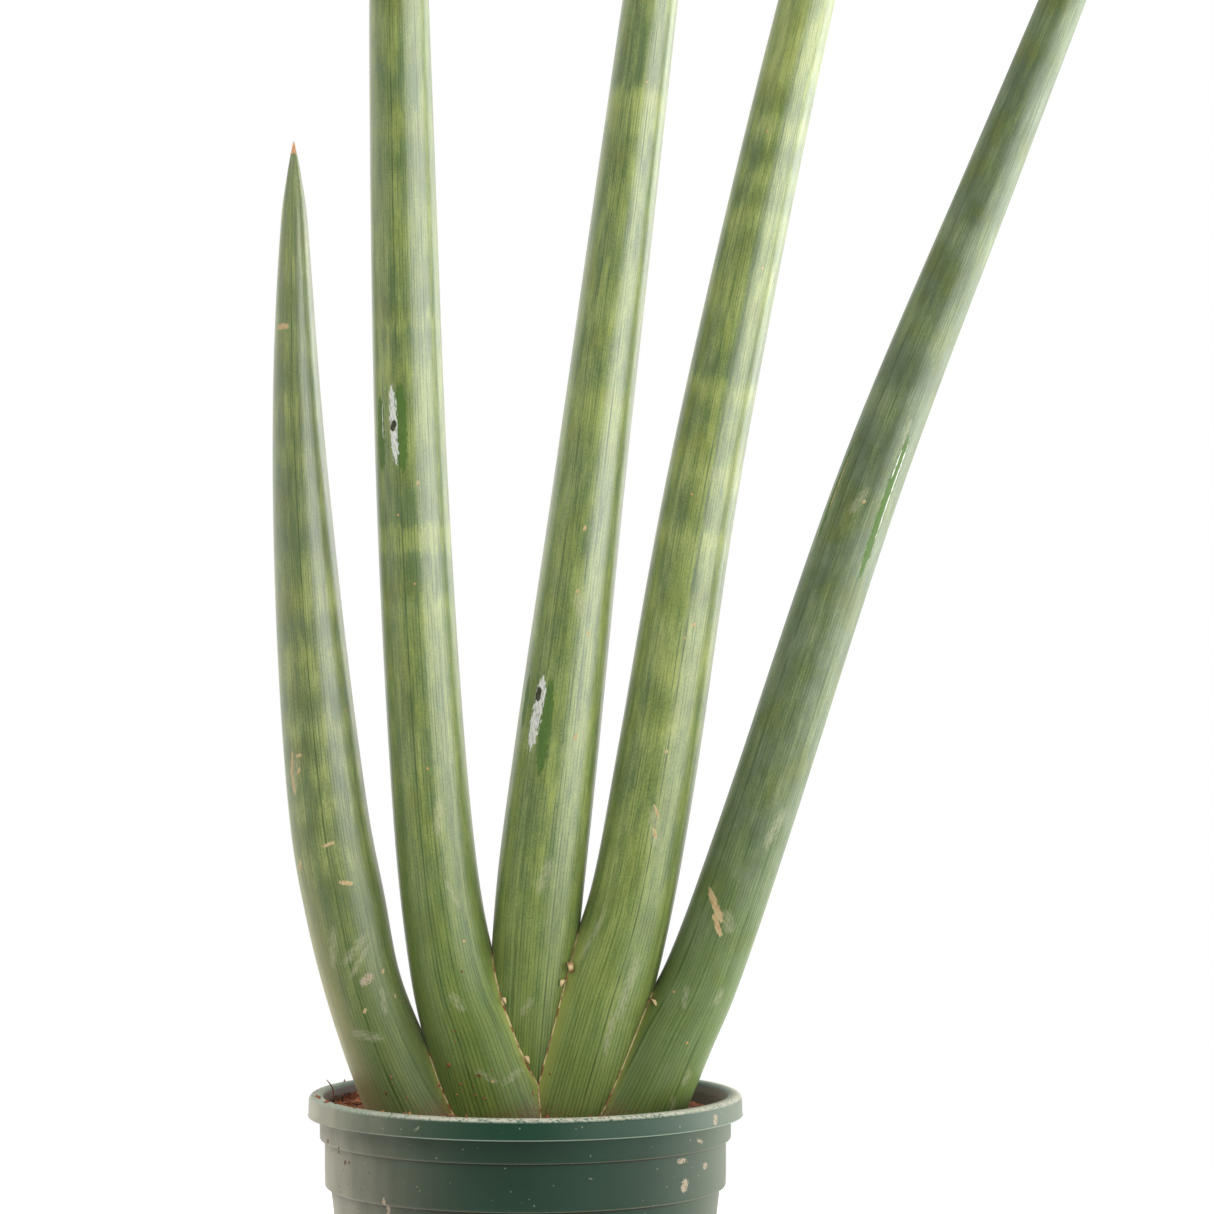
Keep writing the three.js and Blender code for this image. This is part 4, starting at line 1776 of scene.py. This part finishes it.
@dataclass
class Studio:
    """A white room with a tall window at the right, and the camera."""

    camera_distance: float = 1.6
    camera_height: float = 0.309
    camera_tilt: float = 1.15
    camera_across: float = 0.0263
    focal_length: float = 147.3
    sensor_width: float = 36.0
    far_clip: float = 50.0
    floor_size: float = 1.4
    window_strength: float = 8.8
    skylight_strength: float = 3.2

    def build(self) -> None:
        """Set up the floor, the lit room and the camera."""
        bpy.context.scene.view_settings.view_transform = "Standard"
        self._floor()
        self._world()
        camera = bpy.data.cameras.new("camera")
        camera.lens = self.focal_length
        camera.sensor_width = self.sensor_width
        camera.clip_end = self.far_clip
        holder = bpy.data.objects.new("camera", camera)
        holder.location = (self.camera_across, -self.camera_distance, self.camera_height)
        holder.rotation_euler = (math.radians(90 - self.camera_tilt), 0, 0)
        bpy.context.scene.collection.objects.link(holder)
        bpy.context.scene.camera = holder

    def _floor(self) -> None:
        """Lay a plain white floor."""
        bpy.ops.object.select_all(action="DESELECT")
        bpy.ops.mesh.primitive_plane_add(size=self.floor_size)
        floor = bpy.context.object
        floor.name = "floor"
        material, tree = new_material("white_floor")
        finish_surface(tree, {"Base Color": grey(0.92), "Roughness": 0.9})
        floor.data.materials.append(material)

    def _world(self) -> None:
        """Make a white room with a tall window at the right and a skylight at the left.

        The room is darker on the side of the camera.
        """
        world = bpy.data.worlds.new("white_room")
        world.use_nodes = True
        tree = world.node_tree
        tree.nodes.clear()
        bpy.context.scene.world = world
        direction = add_node(tree, "TexCoord").node.outputs["Generated"]
        _, rise, turn = round_place(tree, direction)
        place = add_node(tree, "MapRange", {"Value": turn, "From Min": -math.pi, "From Max": math.pi})
        walls = add_node(tree, "ValToRGB", {"Fac": place})
        # How brightly the walls glow all around, by degrees from the front towards the right.
        glow = [
            (-180, 0.1), (-120, 0.13), (-80, 0.12), (-45, 0.04), (0, 0.025), (17, 0.03),
            (31, 0.64), (74, 0.7), (104, 0.86), (118, 0.6), (132, 0.28), (150, 0.14), (180, 0.1),
        ]
        set_ramp(walls, [((angle + 180) / 360, grey(level)) for angle, level in glow])
        window = {"Value": rise, "From Min": 0.5, "From Max": 0.18, "To Max": self.window_strength}
        window = add_node(tree, "MapRange", window)
        sky = {"Value": rise, "From Min": 0.4, "From Max": 0.65, "To Max": self.skylight_strength}
        left = {"Value": turn, "From Min": 0.4, "From Max": -0.5, "To Min": 0.2}
        left = add_node(tree, "MapRange", left)
        sky = add_node(tree, "MapRange", sky)
        sky = add_node(tree, "Math", {0: sky, 1: left}, operation="MULTIPLY")
        light = add_node(tree, "Math", {0: walls, 1: window, 2: sky}, operation="MULTIPLY_ADD")
        room = add_node(tree, "Background", {"Color": grey(1.0), "Strength": light})
        white = add_node(tree, "Background", {"Color": grey(1.0), "Strength": 1.0})
        seen = add_node(tree, "LightPath").node.outputs["Is Camera Ray"]
        surface = add_node(tree, "MixShader", {0: seen, 1: room, 2: white})
        add_node(tree, "OutputWorld", {"Surface": surface})


def main() -> None:
    """Build every piece."""
    logging.basicConfig(level=logging.INFO, format="%(name)s %(message)s")
    Studio().build()
    pot = NurseryPot()
    pot.build()
    mix = PottingMix(pot)
    mix.build()
    younger: list[Leaf] = []
    pieces = []
    for leaf in leaves():
        piece = leaf.build(younger)
        if younger:
            DrySheath(leaf, shreds=SHREDS.get(leaf.node, ())).build(piece)
        younger.append(leaf)
        pieces.append(piece)
    mix.strew(pieces)
    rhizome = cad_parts["rhizome_and_roots"]
    tissue = RootTissue().material()
    for slot in rhizome.material_slots:
        slot.material = tissue


if __name__ == "__main__":
    main()
